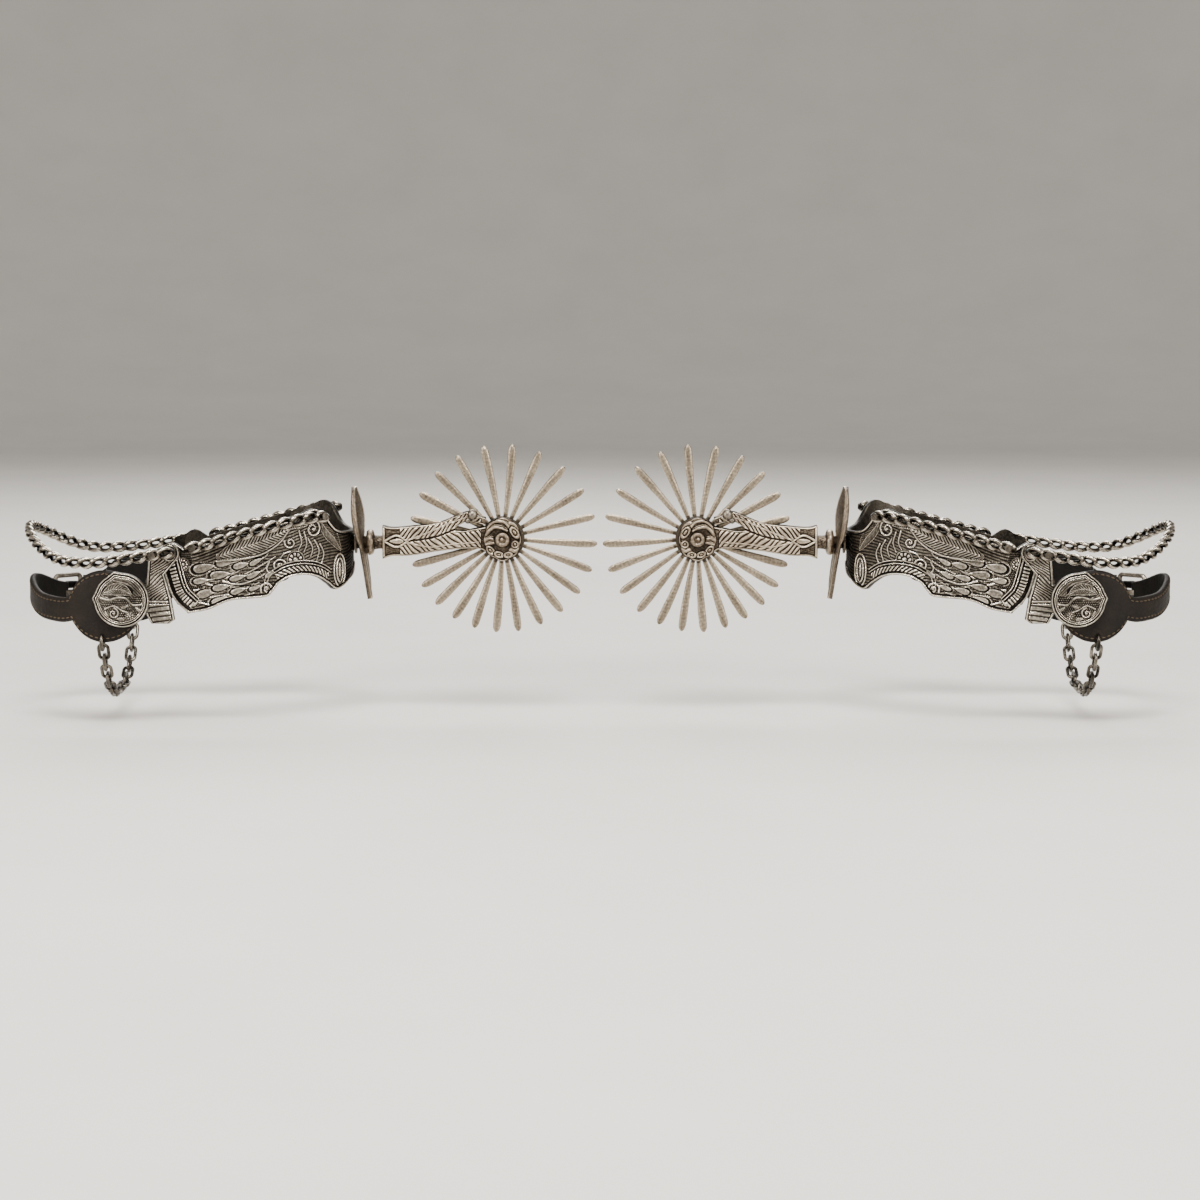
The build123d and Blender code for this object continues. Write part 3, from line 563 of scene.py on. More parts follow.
def carve_acanthus(r):
    """Stems and lobes sweeping forward to the nose, each lobe with a tail."""
    for stem in (
        ((117, -10.2), (111, -12.6), (104, -12.2), (96, -8.2), (90, -4.6)),
        ((111, -14.4), (105, -15.6), (99, -14.0), (93, -10.8)),
        ((116, -20.8), (108, -19.6), (101, -17.2), (96.6, -14.8)),
        ((111.5, -24.0), (105.5, -21.2), (98.5, -19.0)),
        ((121, -13.4), (116.5, -15.8), (109, -16.6), (103.4, -16.8)),
        ((122.5, -18.0), (117, -18.0), (112, -17.8)),
        ((124, -22.5), (119.5, -23.2), (114.5, -24.6)),
    ):
        r.stroke(unrolled(*stem), 1.05, 0.9, taper=0.55)
    for centre, long, wide, lean in (
        ((118.6, -9.0), 4.3, 1.75, 168), ((112.2, -11.8), 4.0, 1.6, 172), ((117.8, -19.2), 3.9, 1.6, 165),
        ((112.4, -22.0), 3.6, 1.35, 160), ((110.4, -7.2), 3.3, 1.25, 172), ((103.8, -8.0), 3.2, 1.3, 165),
        ((105.0, -18.2), 3.2, 1.2, 162), ((98.8, -11.8), 3.0, 1.15, 154), ((119.8, -14.2), 3.2, 1.25, 172),
        ((111.8, -16.8), 3.5, 1.35, 168), ((105.2, -13.0), 3.3, 1.25, 165), ((98.2, -17.0), 2.7, 1.0, 160),
        ((97.8, -6.6), 2.8, 1.05, 152), ((92.4, -11.6), 2.3, 0.95, 140), ((122.2, -22.8), 2.2, 1.0, 130),
    ):
        r.lobe(unrolled(centre)[0], long, wide, lean)
        run, climb = math.cos(math.radians(lean)), math.sin(math.radians(lean))
        middle = (centre[0] + 1.5 * long * run, centre[1] + 1.5 * long * climb)
        end = (centre[0] + 2.1 * long * run, centre[1] + 2.1 * long * climb + 0.9)
        r.stroke(unrolled(centre, middle, end), 0.9, 0.85, taper=0.7)


def carve_leaves(r):
    """A small shell at the nose, the feather leaf below the chain, and the scrolls behind it."""
    r.flower(unrolled((127.0, -7.6))[0], 2.5, 10)
    feather = unrolled((112.5, -4.6), (105, -1.6), (97.5, 1.0), (90.5, 3.8), (85.0, 6.2))
    r.hatched_leaf(feather, 4.0, 1.5, 0.95, 1.1)
    under = unrolled((113.5, -6.4), (104, -5.5), (95, -3.4), (88.4, 0.8), (85.0, 5.2))
    r.stroke(under, 0.95, 0.95, taper=0.3)
    r.hatched_leaf(unrolled((91.5, 9.6), (86.0, 9.0), (81.0, 8.6), (77.4, 8.0)), 2.3, 1.0, 0.8, 0.8)
    for centre, radius, turns, width, start, hand in (
        ((88.4, -8.2), 3.0, 1.5, 0.95, 200, -1), ((75.2, 6.2), 3.7, 1.4, 1.15, 90, 1),
        ((84.0, 1.0), 2.4, 1.3, 0.8, 20, -1),
    ):
        r.spiral(unrolled(centre)[0], radius, turns, width, start, hand)
    for leaf in (
        ((80.5, 5.5), (79.6, 1.0), (81.0, -2.4)), ((78.6, 5.0), (77.6, 0.6), (78.8, -3.2)),
        ((77.0, 2.2), (75.4, -1.6), (76.2, -5.2)), ((74.6, 1.6), (73.0, -2.4), (73.8, -6.6)),
        ((72.6, 0.0), (71.2, -4.0), (72.2, -8.2)), ((84.0, -2.6), (86.4, -3.4), (88.0, -5.2)),
        ((92.4, -6.6), (93.4, -9.6), (91.6, -12.0)), ((78.0, -8.6), (75.4, -8.6), (73.0, -10.4)),
    ):
        r.stroke(unrolled(*leaf), 0.95, 0.85, taper=0.6)
    r.flower(unrolled((81.9, -6.0))[0], 3.5, 9)


def carve_rear(r):
    """The pointed leaf, the looped drop and the short lines at the back of the heel."""
    r.hatched_leaf(unrolled((72.6, 9.4), (70.0, 5.4), (67.2, 1.4), (65.2, -3.0)), 2.9, 0.95, 0.85, 0.9)
    drop = float(track_length(65.4))
    turn = np.linspace(0, 2 * np.pi, 13)
    for wide, tall, width in ((4.0, 6.6, 0.95), (2.2, 4.8, 0.85)):
        loop = np.column_stack([drop + wide * np.cos(turn), -11.4 + tall * np.sin(turn)])
        r.stroke(loop, width, 0.95, taper=0.0, count=48)
    r.lobe((drop, -11.2), 3.0, 0.85, 90)
    for line in range(5):
        rise = 2.1 * line
        r.stroke([(10.6 - 0.4 * line, -6.0 + rise), (6.4, -4.4 + rise), (1.2, -5.0 + rise)], 0.8, 0.7)


def carve_band(x, y):
    """The band's scrollwork: its relief, and each point's distance from the outline."""
    r = Relief(x, y)
    hair = ripple(y + 0.2 * x + 1.2 * np.sin(0.17 * x), 1.25)
    r.raise_to(0.08 + 0.40 * hair + 0.06 * fine_noise(x * 1.6, y * 1.6))
    nose, nose_place, nose_length = r.measure(unrolled(*BAND_NOSE[::3]))
    dotted = (nose > 7.6) & (nose < 12)
    r.sink(dotted, 0.12)
    r.stipple(dotted, 0.8, 0.6)
    carve_acanthus(r)
    carve_leaves(r)
    carve_rear(r)
    # shell ridges round the front of the arch and the two lines over them
    arch, arch_place, arch_length = r.measure(unrolled(*BAND_ARCH[::3]))
    share = arch_place / arch_length
    r.sink((arch < 6.0) & (share > 0.02) & (share < 0.98), 0.05)
    ridge = ripple(arch_place + 0.9 * arch, 1.6) * unit((4.1 - arch) / 0.6)
    r.raise_to(np.where((arch > 1.1) & (share < 0.97) & (share > 0.01), 0.85 * ridge, 0))
    for line in (4.6, 5.8):
        r.raise_to(np.where(share < 0.985, 0.95 * tent((arch - line) / 0.36), 0))
    r.spiral(unrolled((93.4, -17.4))[0], 2.7, 1.4, 1.0, start=-30)
    # fluted nose between its rim and a double line
    inside_nose = (nose_place > 0.3) & (nose_place < nose_length - 0.3)
    r.sink((nose < 7.8) & inside_nose, 0.05)
    flute = ripple(nose_place, 1.45, 0.7) * unit((5.3 - nose) / 0.5)
    r.raise_to(np.where((nose > 2.3) & inside_nose, 0.8 * flute, 0))
    for line in (6.1, 7.3):
        r.raise_to(np.where(inside_nose, tent((nose - line) / 0.42), 0))
    # rims along the whole outline
    edge = r.measure(unrolled(*BAND_BOTTOM[::4], *BAND_TOP[::-1][::4]))[0]
    r.sink(edge < 1.55, 0.02)
    r.raise_to(unit(1 - ((edge - 0.45) / 0.6) ** 2))
    return unit(r.level), edge


RELIEF_DEPTH = 0.85
BAND_ROWS = 104
BAND_COLUMNS = 400
BAND_END = 135.75
CROWDED_FROM = 0.92
CROWDED_SHARE = 0.08
WALL_CLEARANCE = 0.02


def heel_band(side):
    """The U-shaped band with its carved outer face; its columns crowd together towards the nose."""
    share = np.linspace(0, 1, BAND_COLUMNS)
    crowded = CROWDED_FROM + CROWDED_SHARE * np.sin((share - CROWDED_FROM) / CROWDED_SHARE * np.pi / 2)
    distance = float(track_length(BAND_END)) * np.where(share < CROWDED_FROM, share, crowded)
    forward = np.where(distance < CURVED_LENGTH, HEEL_FORWARD - BAND_OUT * np.cos(distance / BAND_OUT),
                       HEEL_FORWARD + distance - CURVED_LENGTH)
    bottom = edge_height(BAND_BOTTOM[np.argsort(BAND_BOTTOM[:, 0])], forward)
    height = spread(bottom, edge_height(BAND_TOP, forward), BAND_ROWS)
    x = np.broadcast_to(distance[:, None], height.shape)
    level, edge = (field.reshape(height.shape) for field in carve_band(x.ravel(), height.ravel()))
    outer = BAND_OUT - WALL_CLEARANCE - RELIEF_DEPTH * (1 - level) - 0.3 * unit(1 - edge / 0.5) ** 2
    inner = np.full(height.shape, HEEL_RADIUS + 0.06)

    def wall(radius, hand):
        curved = (distance < CURVED_LENGTH)[:, None]
        angle = np.minimum(distance, CURVED_LENGTH)[:, None] / BAND_OUT
        u = np.where(curved, HEEL_FORWARD - radius * np.cos(angle), forward[:, None])
        y = hand * np.where(curved, radius * np.sin(angle), radius)
        return np.stack([u, y, height], -1)

    front, back = (np.concatenate([wall(radius, 1.0)[:0:-1], wall(radius, -1.0)])
                   for radius in (outer, inner))
    worn = patina(level)
    shape = two_faced(front, back, np.concatenate([worn[:0:-1], worn]), 0.42)
    make_piece("band_carved", shape, side, "spur", BAND_METAL, "band_silver", "heel_band")


# ---- flat carved plates seen from the side: concho and rosettes ----
def carved_disc(hand, centre, edge_radius, carve, back, thick, fall, depth, rings, spokes):
    """A round plate facing one side; its carved face falls away to its rim, whose radius is by angle."""
    angle = np.linspace(0, 2 * np.pi, spokes, endpoint=False)
    share = np.linspace(0.004, 1, rings)
    rr = share[None, :] * edge_radius(angle)[:, None]
    x, y = rr * np.cos(angle)[:, None], rr * np.sin(angle)[:, None]
    shares = np.broadcast_to(share, rr.shape)
    level = unit(carve(x.ravel(), y.ravel(), shares.ravel())).reshape(rr.shape)
    rise = thick - fall * shares**2.5 - depth * (1 - level)
    rise = rise - 0.35 * unit((share - 0.955) / 0.045) ** 2
    front = np.stack([centre[0] + x, hand * (back + rise), centre[1] + y], -1)
    skirt = np.stack([centre[0] + x[:, -1:], np.full((spokes, 1), hand * back), centre[1] + y[:, -1:]], -1)
    grid = np.concatenate([front, skirt], axis=1)
    relief = np.concatenate([patina(level, 5), np.full((spokes, 1), 0.3)], axis=1)
    rows = rings + 1
    inmost = np.arange(spokes) * rows
    faces = [grid_faces(spokes, rows, wrap_columns=True), inmost[None, ::-1], (inmost + rings)[None, :]]
    return grid.reshape(-1, 3), faces, relief.ravel()


def concho_edge(angle):
    """Round, drawn out to a point at the top and at the front."""
    degrees = np.degrees(angle) % 360
    top = tent((degrees - 76) / 17)
    front = tent((((degrees - 4 + 180) % 360) - 180) / 15)
    return CONCHO_RADIUS - 0.25 + 1.0 * top**1.5 + 0.9 * front**1.5


def carve_concho(x, y, share):
    """A triple rim and an S-shaped divide; a leaf above it, a scroll, a flower and lobes on dots below."""
    r = Relief(x, y)
    hatch = ripple(0.9 * y - 0.55 * x + 0.8 * np.sin(0.5 * x), 1.15)
    r.raise_to(0.1 + 0.45 * hatch + 0.1 * fine_noise(x * 2, y * 2))
    below = y < 0.4 - 0.2 * x
    r.clear(below, 0.12)
    r.stipple(below & (share < 0.8), 0.85, 0.65)
    r.sink(np.hypot((x - 1.4) / 6.0, (y - 3.6) / 3.0) < 1.05, 0.1)
    r.hatched_leaf([(6.6, 3.0), (3.0, 4.4), (-0.6, 4.2), (-3.6, 2.6)], 2.3, 1.0, 0.9, 0.8)
    divide = [(8.2, 1.0), (5.0, 0.2), (1.6, 1.2), (-1.8, 0.8), (-4.6, -1.8), (-8.0, -1.6)]
    r.stroke(divide, 1.1, taper=0.2)
    r.stroke([(6.6, -3.4), (3.0, -2.2), (-0.6, -4.2), (-4.4, -5.2)], 0.9, 0.85, taper=0.4)
    r.spiral((3.2, -5.2), 2.2, 1.3, 0.8, start=100)
    r.flower((-3.4, -6.4), 1.7, 7)
    for centre, long, wide, lean in (
        ((-6.6, -3.6), 1.4, 0.6, 40), ((0.4, -7.6), 1.6, 0.6, 10), ((6.2, -5.4), 1.4, 0.6, 75),
        ((-1.4, -2.6), 1.5, 0.55, 160),
    ):
        r.lobe(centre, long, wide, lean)
    for line, width in ((0.965, 0.045), (0.865, 0.03), (0.80, 0.02)):
        r.sink(np.abs(share - line) < width * 1.7, 0.02)
        r.raise_to(unit(1 - (np.abs(share - line) / width) ** 2))
    return r.level


def rosette_edge(angle):
    """Eight petals round an upright oval."""
    oval = 1 / np.sqrt((np.cos(angle) / 7.7) ** 2 + (np.sin(angle) / 9.0) ** 2)
    return oval * (0.93 + 0.07 * np.abs(np.cos(4 * angle)))


def carve_rosette(x, y, share):
    """A knot of oval links and curled leaves round the pin."""
    r = Relief(x, y)
    r.raise_to(0.1 + 0.08 * fine_noise(x * 2.2, y * 2.2))
    for leaf in (
        ((7.2, 4.4), (3.6, 7.3), (-0.6, 7.2), (-3.0, 4.8)), ((6.8, 2.2), (3.8, 4.9), (0.6, 4.7), (-1.8, 3.6)),
        ((7.4, -0.4), (5.6, 0.4), (3.9, 0.2)), ((7.2, -2.6), (5.2, -1.6), (3.6, -1.4)),
        ((-3.2, 6.8), (-5.0, 6.2), (-6.6, 4.6)), ((-3.4, -4.4), (-5.0, -4.8), (-6.4, -3.8)),
    ):
        r.stroke(leaf, 2.0, 0.95, taper=0.35, count=30)
        r.stroke([(u - 0.1, h + 0.95) for u, h in leaf], 0.5, 0.6, taper=0.2, count=30)
    for centre, long, wide, lean in (
        ((-5.0, 2.9), 3.0, 1.75, 55), ((-5.2, -2.0), 1.7, 1.7, 0), ((5.0, -4.4), 2.5, 1.55, 45),
        ((1.5, -6.2), 2.3, 1.45, 18), ((-2.3, -6.3), 2.1, 1.4, -10),
    ):
        r.link(centre, long, wide, lean)
    r.clear(np.hypot(x, y) < 3.45, 0.05)
    r.raise_to(0.75 * unit(1 - (np.abs(share - 0.96) / 0.045) ** 2))
    return r.level


def carved_discs(side):
    """The conchos over the strap buttons and the rosettes under the pin's heads."""
    concho = (CONCHO, concho_edge, carve_concho, CONCHO_BACK, 2.6, 0.9, 0.6, 90, 300)
    rosette = ((0, 0), rosette_edge, carve_rosette, SHANK_HALF, 1.75, 0.5, 1.15, 80, 260)
    for kind, disc, body, material, slot in (
        ("concho", concho, "yoke", BAND_METAL, "silver"), ("rosette", rosette, "spur", SHANK_METAL, "iron"),
    ):
        for name, hand in HANDS:
            node, shape = f"{name}_{kind}", carved_disc(hand, *disc)
            make_piece(f"{node}_carved", shape, side, body, material, slot, node)


PIN_HALF = 7.0
PIN_RADIUS = 1.98
PIN_RING = 2.15


def pin_heads(side):
    """The rowel pin, its two heads turned as a ring with a bead in it."""
    bar = [(0.0, -PIN_HALF), (PIN_RADIUS, -PIN_HALF), (PIN_RADIUS, PIN_HALF), (0.0, PIN_HALF)]
    parts = [lathe(bar, (0, 0, 0), 1, 48)]
    turn = np.linspace(0, 2 * np.pi, 48, endpoint=False)
    for _, hand in HANDS:
        ring = np.column_stack([PIN_RING * np.cos(turn), np.full(48, hand * 7.05), PIN_RING * np.sin(turn)])
        parts.append(tube(ring, 0.8, 14, closed=True))
        parts.append(ball((0.2, hand * 6.95, 0.1), 0.95))
    pin = join(parts)
    forward, across, height = pin[0].T
    level = 0.62 + 0.2 * fine_noise(forward, height) - 0.5 * (np.abs(across) < PIN_HALF - 0.01)
    make_piece("pin_heads", toned(pin, level), side, "spur", SHANK_METAL, "iron", "rowel_pin")


# ---- shank ----
SHANK_TOP = smooth_curve([(-0.5, 9.1), (6.2, 8.6), (10.5, 10.0), (14.6, 11.2), (19.5, 9.4), (27, 6.6),
                          (38, 5.2), (45.5, 4.7), (NECK_START, 5.5)], 300)
SHANK_BOTTOM = smooth_curve([(-0.5, -8.6), (4.5, -6.6), (9, -4.2), (14, -3.9), (25, -4.8), (38, -6.8),
                             (45.5, -7.0), (NECK_START, -8.2)], 300)
WINDOW_TOP = smooth_curve([(7.0, 5.6), (11.4, 6.8), (14.8, 7.1), (18.0, 5.6), (20.6, 3.8)], 80)
WINDOW_BOTTOM = smooth_curve([(7.0, 5.0), (11.8, 4.2), (15.6, 3.5), (18.4, 3.5), (20.6, 3.75)], 80)
ROOT_SPAN = (39.9, NECK_START)
CHEEK_SPAN = (19.4, 40.2)
BRANCH_SPAN = (7.0, 19.6)
CHEEK_RADIUS = 7.9
CHEEK_STRETCH = 1.14
CHAMFER = 0.4
FEATHERED = (9, 42)
ALMOND = (43.7, -0.85)
BOSS_PROFILE = [(0.0, 52.9), (3.8, 52.95), (4.9, 53.4), (5.35, 54.4), (5.3, 55.2), (4.6, 56.0), (2.6, 56.3),
                (2.6, 63.3), (0, 63.3)]


def carve_shank(x, y):
    """Feathered veins either side of a crease that parts into two branches, and an almond at the root."""
    r = Relief(x, y)
    r.raise_to(0.12 + 0.1 * fine_noise(x * 2, y * 2))
    crease = smooth_curve([(8, 4.6), (14, 5.2), (20, 3.8), (27, 1.2), (34, -0.2), (40, -0.8)], 80)
    off = np.abs(y - edge_height(crease, x))
    feather = (x > FEATHERED[0]) & (x < FEATHERED[1])
    vein = ripple(x + 0.85 * off + 0.35 * np.sin(0.8 * x), 2.15, 0.9)
    r.raise_to(np.where(feather & (off > 0.45), 0.95 * vein, 0))
    r.clear(feather & (off < 0.4), 0.0)
    r.stroke([(39.0, -0.4), (30, 3.0), (22, 6.6), (14.2, 9.2)], 0.8, 0.9, taper=0.1, count=40)
    r.stroke([(39.0, -1.4), (30, -3.2), (22, -2.2), (10, -1.2)], 0.8, 0.9, taper=0.1, count=40)
    almond_half = 2.5 * np.cos(np.clip((x - ALMOND[0]) / 4.8, -1, 1) * 1.45)
    r.clear((np.abs(x - ALMOND[0]) < 4.7) & (np.abs(y - ALMOND[1]) < almond_half), 0.05)
    r.lobe((43.6, -0.85), 2.9, 1.0, 0, edge=False)
    r.stroke([(39.0, -0.9), (43.6, 1.5), (48.4, -0.6)], 0.95, taper=0.0)
    r.stroke([(39.0, -0.9), (43.6, -3.2), (48.4, -1.0)], 0.95, taper=0.0)
    r.raise_to(np.where(x > 48.3, dome((x - 48.85) / 0.55), 0))
    return r.level


def slab(top, bottom, span, columns, near, far, rows=44, pillow=1.2):
    """A bar between two edges; near and far are its faces' places across the spur, carved on the outside."""
    forward = np.linspace(*span, columns)
    hi, lo = edge_height(top, forward), edge_height(bottom, forward)
    row = np.linspace(0, 1, rows)
    height = spread(lo, hi, rows)
    u = np.broadcast_to(forward[:, None], height.shape)
    level = unit(carve_shank(u.ravel(), height.ravel())).reshape(height.shape)
    gap = np.minimum(row, 1 - row)[None, :] * (hi - lo)[:, None]
    level = np.maximum(np.where(gap < 0.8, 0.1, level), 0.9 * tent((gap - 0.35) / 0.4))
    sink = 0.75 * (1 - level) + pillow * np.abs(2 * row - 1)[None, :] ** 3
    worn = patina(level, 6)

    def face(place):
        if abs(place) < SHANK_HALF:
            return np.stack([u, np.full(height.shape, place), height], -1), np.full(height.shape, 0.3)
        return np.stack([u, np.sign(place) * (abs(place) - sink), height], -1), worn

    (near_grid, near_relief), (far_grid, far_relief) = face(near), face(far)
    return two_faced(near_grid, far_grid, near_relief, far_relief)


def shank(side):
    """Root, two cheeks with their upper and lower branches, and the neck; then the boss and the two balls."""
    parts = [slab(SHANK_TOP, SHANK_BOTTOM, ROOT_SPAN, 60, -SHANK_HALF, SHANK_HALF)]
    for near, far in ((-SHANK_HALF, -SLOT_HALF), (SLOT_HALF, SHANK_HALF)):
        parts.append(slab(SHANK_TOP, SHANK_BOTTOM, CHEEK_SPAN, 150, near, far))
        parts.append(slab(SHANK_TOP, WINDOW_TOP, BRANCH_SPAN, 100, near, far, rows=26, pillow=0.9))
        parts.append(slab(WINDOW_BOTTOM, SHANK_BOTTOM, BRANCH_SPAN, 100, near, far, rows=34, pillow=1.1))
        cheek_end = [(2.1, near), (7.6, near), (CHEEK_RADIUS, near + CHAMFER), (CHEEK_RADIUS, far - CHAMFER),
                     (7.6, far), (2.1, far)]
        disc = lathe(cheek_end, (0, 0, 0), 1)
        disc[0][:, 2] *= CHEEK_STRETCH
        parts.append(toned(disc, 0.3))
    neck = np.column_stack([np.linspace(NECK_START - 1.5, COLLAR_START, 14), np.zeros(14),
                            np.full(14, TANG_HEIGHT)])
    neck = tube(neck, 3.1 - 0.35 * np.sin(np.linspace(0, np.pi, 14)), 40)
    parts.append(toned(neck, 0.35 + 0.2 * fine_noise(*(neck[0] * 3).T)))
    make_piece("shank_carved", join(parts), side, "spur", SHANK_METAL, "iron", "shank")
    boss = lathe(BOSS_PROFILE, (0, 0, TANG_HEIGHT), 0, 60, wobble=0.05)
    boss = toned(boss, 0.6 + 0.3 * fine_noise(*(boss[0] * 0.9).T))
    make_piece("lumpy_boss", boss, side, "spur", SHANK_METAL, "iron", "shank_collar")
    balls = join([ball((14.2, hand * 4.4, 7.7), 1.3) for _, hand in HANDS])
    make_piece("small_balls", balls, side, "spur", FITTING_METAL, "silver")


# ---- rowel ----
UNEVEN_DEGREES = 7.5
UNEVEN_PHASE = 150.0
FIRST_POINT = 3.2
ROWEL_HALF = 1.1
SPIKE_ROOT = 6.2
SPIKE_SHOULDER = 35.6
SPIKE_WIDTHS = ([SPIKE_ROOT, 12, 22, 31, 36], [0.85, 1.0, 1.35, 1.68, 1.62])
SPIKE_SIDES = 18


def squarish(wave, power):
    """A sine or cosine drawn out towards a square wave."""
    return np.sign(wave) * np.abs(wave) ** power


def spike(point, rng):
    """One hand-forged, flattened and slightly bent spike."""
    even = FIRST_POINT + 360.0 * point / ROWEL_POINTS
    turn = math.radians(180.0 - even - UNEVEN_DEGREES * math.cos(math.radians(even - UNEVEN_PHASE)))
    tip = SPIKE_SHOULDER + 3.3 * np.sin(np.linspace(0.12, 1, 12) * np.pi / 2)
    out = np.concatenate([np.linspace(SPIKE_ROOT, SPIKE_SHOULDER, 64), tip])
    cap = dome(unit((out - SPIKE_SHOULDER) / 3.36))
    width = np.interp(out, *SPIKE_WIDTHS) * rng.uniform(0.93, 1.06) * cap
    thick = np.minimum(ROWEL_HALF - 0.04, 0.82 + 0.01 * out) * cap**0.8
    bend = rng.uniform(-0.35, 0.35) * np.sin((out - 6) / 33 * np.pi) + rng.uniform(-0.2, 0.2) * (out - 6) / 33
    ring = np.linspace(0, 2 * np.pi, SPIKE_SIDES, endpoint=False)
    flat, edge = squarish(np.cos(ring), 0.75), squarish(np.sin(ring), 0.75)
    rough = 1 + 0.045 * fine_noise(out[:, None] * 0.9 + point * 3.1, ring[None, :] * 1.4, point * 1.7)
    across = bend[:, None] + width[:, None] * flat * rough
    y = thick[:, None] * edge * rough.clip(0.9, 1.0)
    radial = np.broadcast_to(out[:, None], across.shape)
    u = radial * math.cos(turn) - across * math.sin(turn)
    h = radial * math.sin(turn) + across * math.cos(turn)
    wear = 0.22 * fine_noise(radial * 0.8, ring[None, :] * 2, point * 0.9)
    # painted shade: each spike is darker within 10 mm of the axle, where the rosette and shank shade the
    # rowel's middle
    level = 0.52 + np.abs(flat) ** 3 * 0.3 + wear - 0.25 * (radial < 10)
    return closed_run(np.stack([u, y, h], -1), level)


def rowel(side):
    """Hand-forged spikes round a turned hub."""
    rng = np.random.default_rng(7)
    parts = [spike(point, rng) for point in range(ROWEL_POINTS)]
    hub = [(2.05, -ROWEL_HALF), (8.2, -ROWEL_HALF), (9.0, -0.7)]
    hub += [(radius, -across) for radius, across in hub[::-1]]
    # painted shade: the hub gets a low, dark relief, as part of the rowel's shaded middle
    parts.append(toned(lathe(hub, (0, 0, 0), 1, 96), 0.2))
    make_piece("rowel_forged", join(parts), side, "rowel_wheel", ROWEL_METAL, "rowel_iron", "rowel")


# ---- guard plate ----
GUARD_OUTLINE = smooth_curve([(-23.4, 0.25), (-19, 4.6), (-14, 7.2), (0, 10), (12, 8.8), (18.6, 6.0),
                              (22.0, 3.4), (23.6, 0.2)], 200)
GUARD_BOTTOM, GUARD_TOP = -23.3, 23.5
GUARD_MIDDLE = (58.2, -1.9)
GUARD_LEAN = math.radians(7.7)


def guard_plate(side):
    """A pointed leaf across the shank: a cupped upper lobe, a ridge down the middle."""
    height = np.linspace(GUARD_BOTTOM, GUARD_TOP, 120)
    share = np.linspace(-1, 1, 41)
    across = edge_height(GUARD_OUTLINE, height)[:, None] * share
    up = np.broadcast_to(height[:, None], across.shape)

    def swell(rise, length):
        return np.sin(unit(rise / length) * np.pi)

    cup = np.where(up > 0, 3.0 * swell(up, GUARD_TOP), -0.5 * swell(-up, GUARD_TOP))
    bow = cup * (share**2) + np.where(up > 2, -1.5 * swell(up - 2, 21), 0)
    ridge = 0.55 * tent(across / 1.3)
    thick = 0.85 * (1 - 0.55 * np.abs(share) ** 6)
    rough = 0.06 * fine_noise(across * 0.8, up * 0.8)
    rim = 0.25 * unit(1 - ((np.abs(share) - 0.88) / 0.08) ** 2)

    def lay(depth):
        forward = GUARD_MIDDLE[0] + depth * math.cos(GUARD_LEAN) + up * math.sin(GUARD_LEAN)
        rise = GUARD_MIDDLE[1] + up * math.cos(GUARD_LEAN) - depth * math.sin(GUARD_LEAN)
        return np.stack([forward, across, rise], -1)

    back, front = lay(bow - thick - ridge - rim - rough), lay(bow + thick)
    points, faces, relief = two_faced(back, front, 0.45 + ridge + rim * 1.6 + rough, 0.4)
    make_piece("guard_leaf", (points, [f[:, ::-1] for f in faces], relief), side, "spur", SHANK_METAL, "iron",
               "guard_plate")


# ---- hangers ----
HANGER_REAR = np.array([(132.4, -31.2), (130.2, -29.6), (131.6, -21), (134.2, -11.5), (129.5, -6),
                        (128.35, -4.5), (128.0, -2.9), (128.5, -1), (129.9, 0.5), (131.9, 1.1)])
HANGER_FRONT = np.array([(139.6, -31.2), (141.4, -28), (141.8, -26.9), (152, -26.8), (152, -15.8),
                         (141.4, -15.7), (141.0, -11.5), (140.5, -5.5), (140.3, -3.2), (138.6, -1.9),
                         (135.3, -0.6), (133.9, 0.5), (132.1, 1.1)])
HANGER_BOTTOM, HANGER_TOP = -31.2, 1.1
BARRED_BELOW = -22.6
DIVIDER_HEIGHT = -22.4
HANGER_OUT = 36.8
HANGER_IN = 34.85


def hangers(side):
    """The plates between band and strap: hatched above, barred below, rimmed along their edges."""
    height = np.linspace(HANGER_BOTTOM, HANGER_TOP, 190)
    rear, front = (np.interp(height, line[:, 1], line[:, 0]) for line in (HANGER_REAR, HANGER_FRONT))
    share = np.linspace(0, 1, 70)
    u = spread(rear, front, len(share))
    h = np.broadcast_to(height[:, None], u.shape)
    edge = np.minimum(share, 1 - share) * (front - rear)[:, None]
    hatch = ripple(0.75 * u + h + 0.5 * np.sin(0.7 * h), 1.3)
    level = np.where(h < BARRED_BELOW, ripple(h + 0.12 * u, 2.0, 0.6), 0.15 + 0.65 * hatch)
    level = np.where(np.abs(h - DIVIDER_HEIGHT) < 0.8, tent((h - DIVIDER_HEIGHT) / 0.8), level)
    eye = np.hypot(u - PIVOT[0], h - PIVOT[1])
    level = np.where(eye < 3.4, 0.35 + 0.6 * tent((eye - 3.0) / 0.5), level)
    level = np.maximum(np.where(edge < 1.3, 0.05, level), dome((edge - 0.45) / 0.5))
    worn = patina(level, 6)
    for name, hand in HANDS:
        outer = np.stack([u, hand * (HANGER_OUT - WALL_CLEARANCE - 0.6 * (1 - level)), h], -1)
        inner = np.stack([u, np.full(u.shape, hand * HANGER_IN), h], -1)
        shape = two_faced(outer, inner, worn, 0.35)
        make_piece(f"{name}_hanger_carved", shape, side, "yoke", BAND_METAL, "silver", f"{name}_hanger")


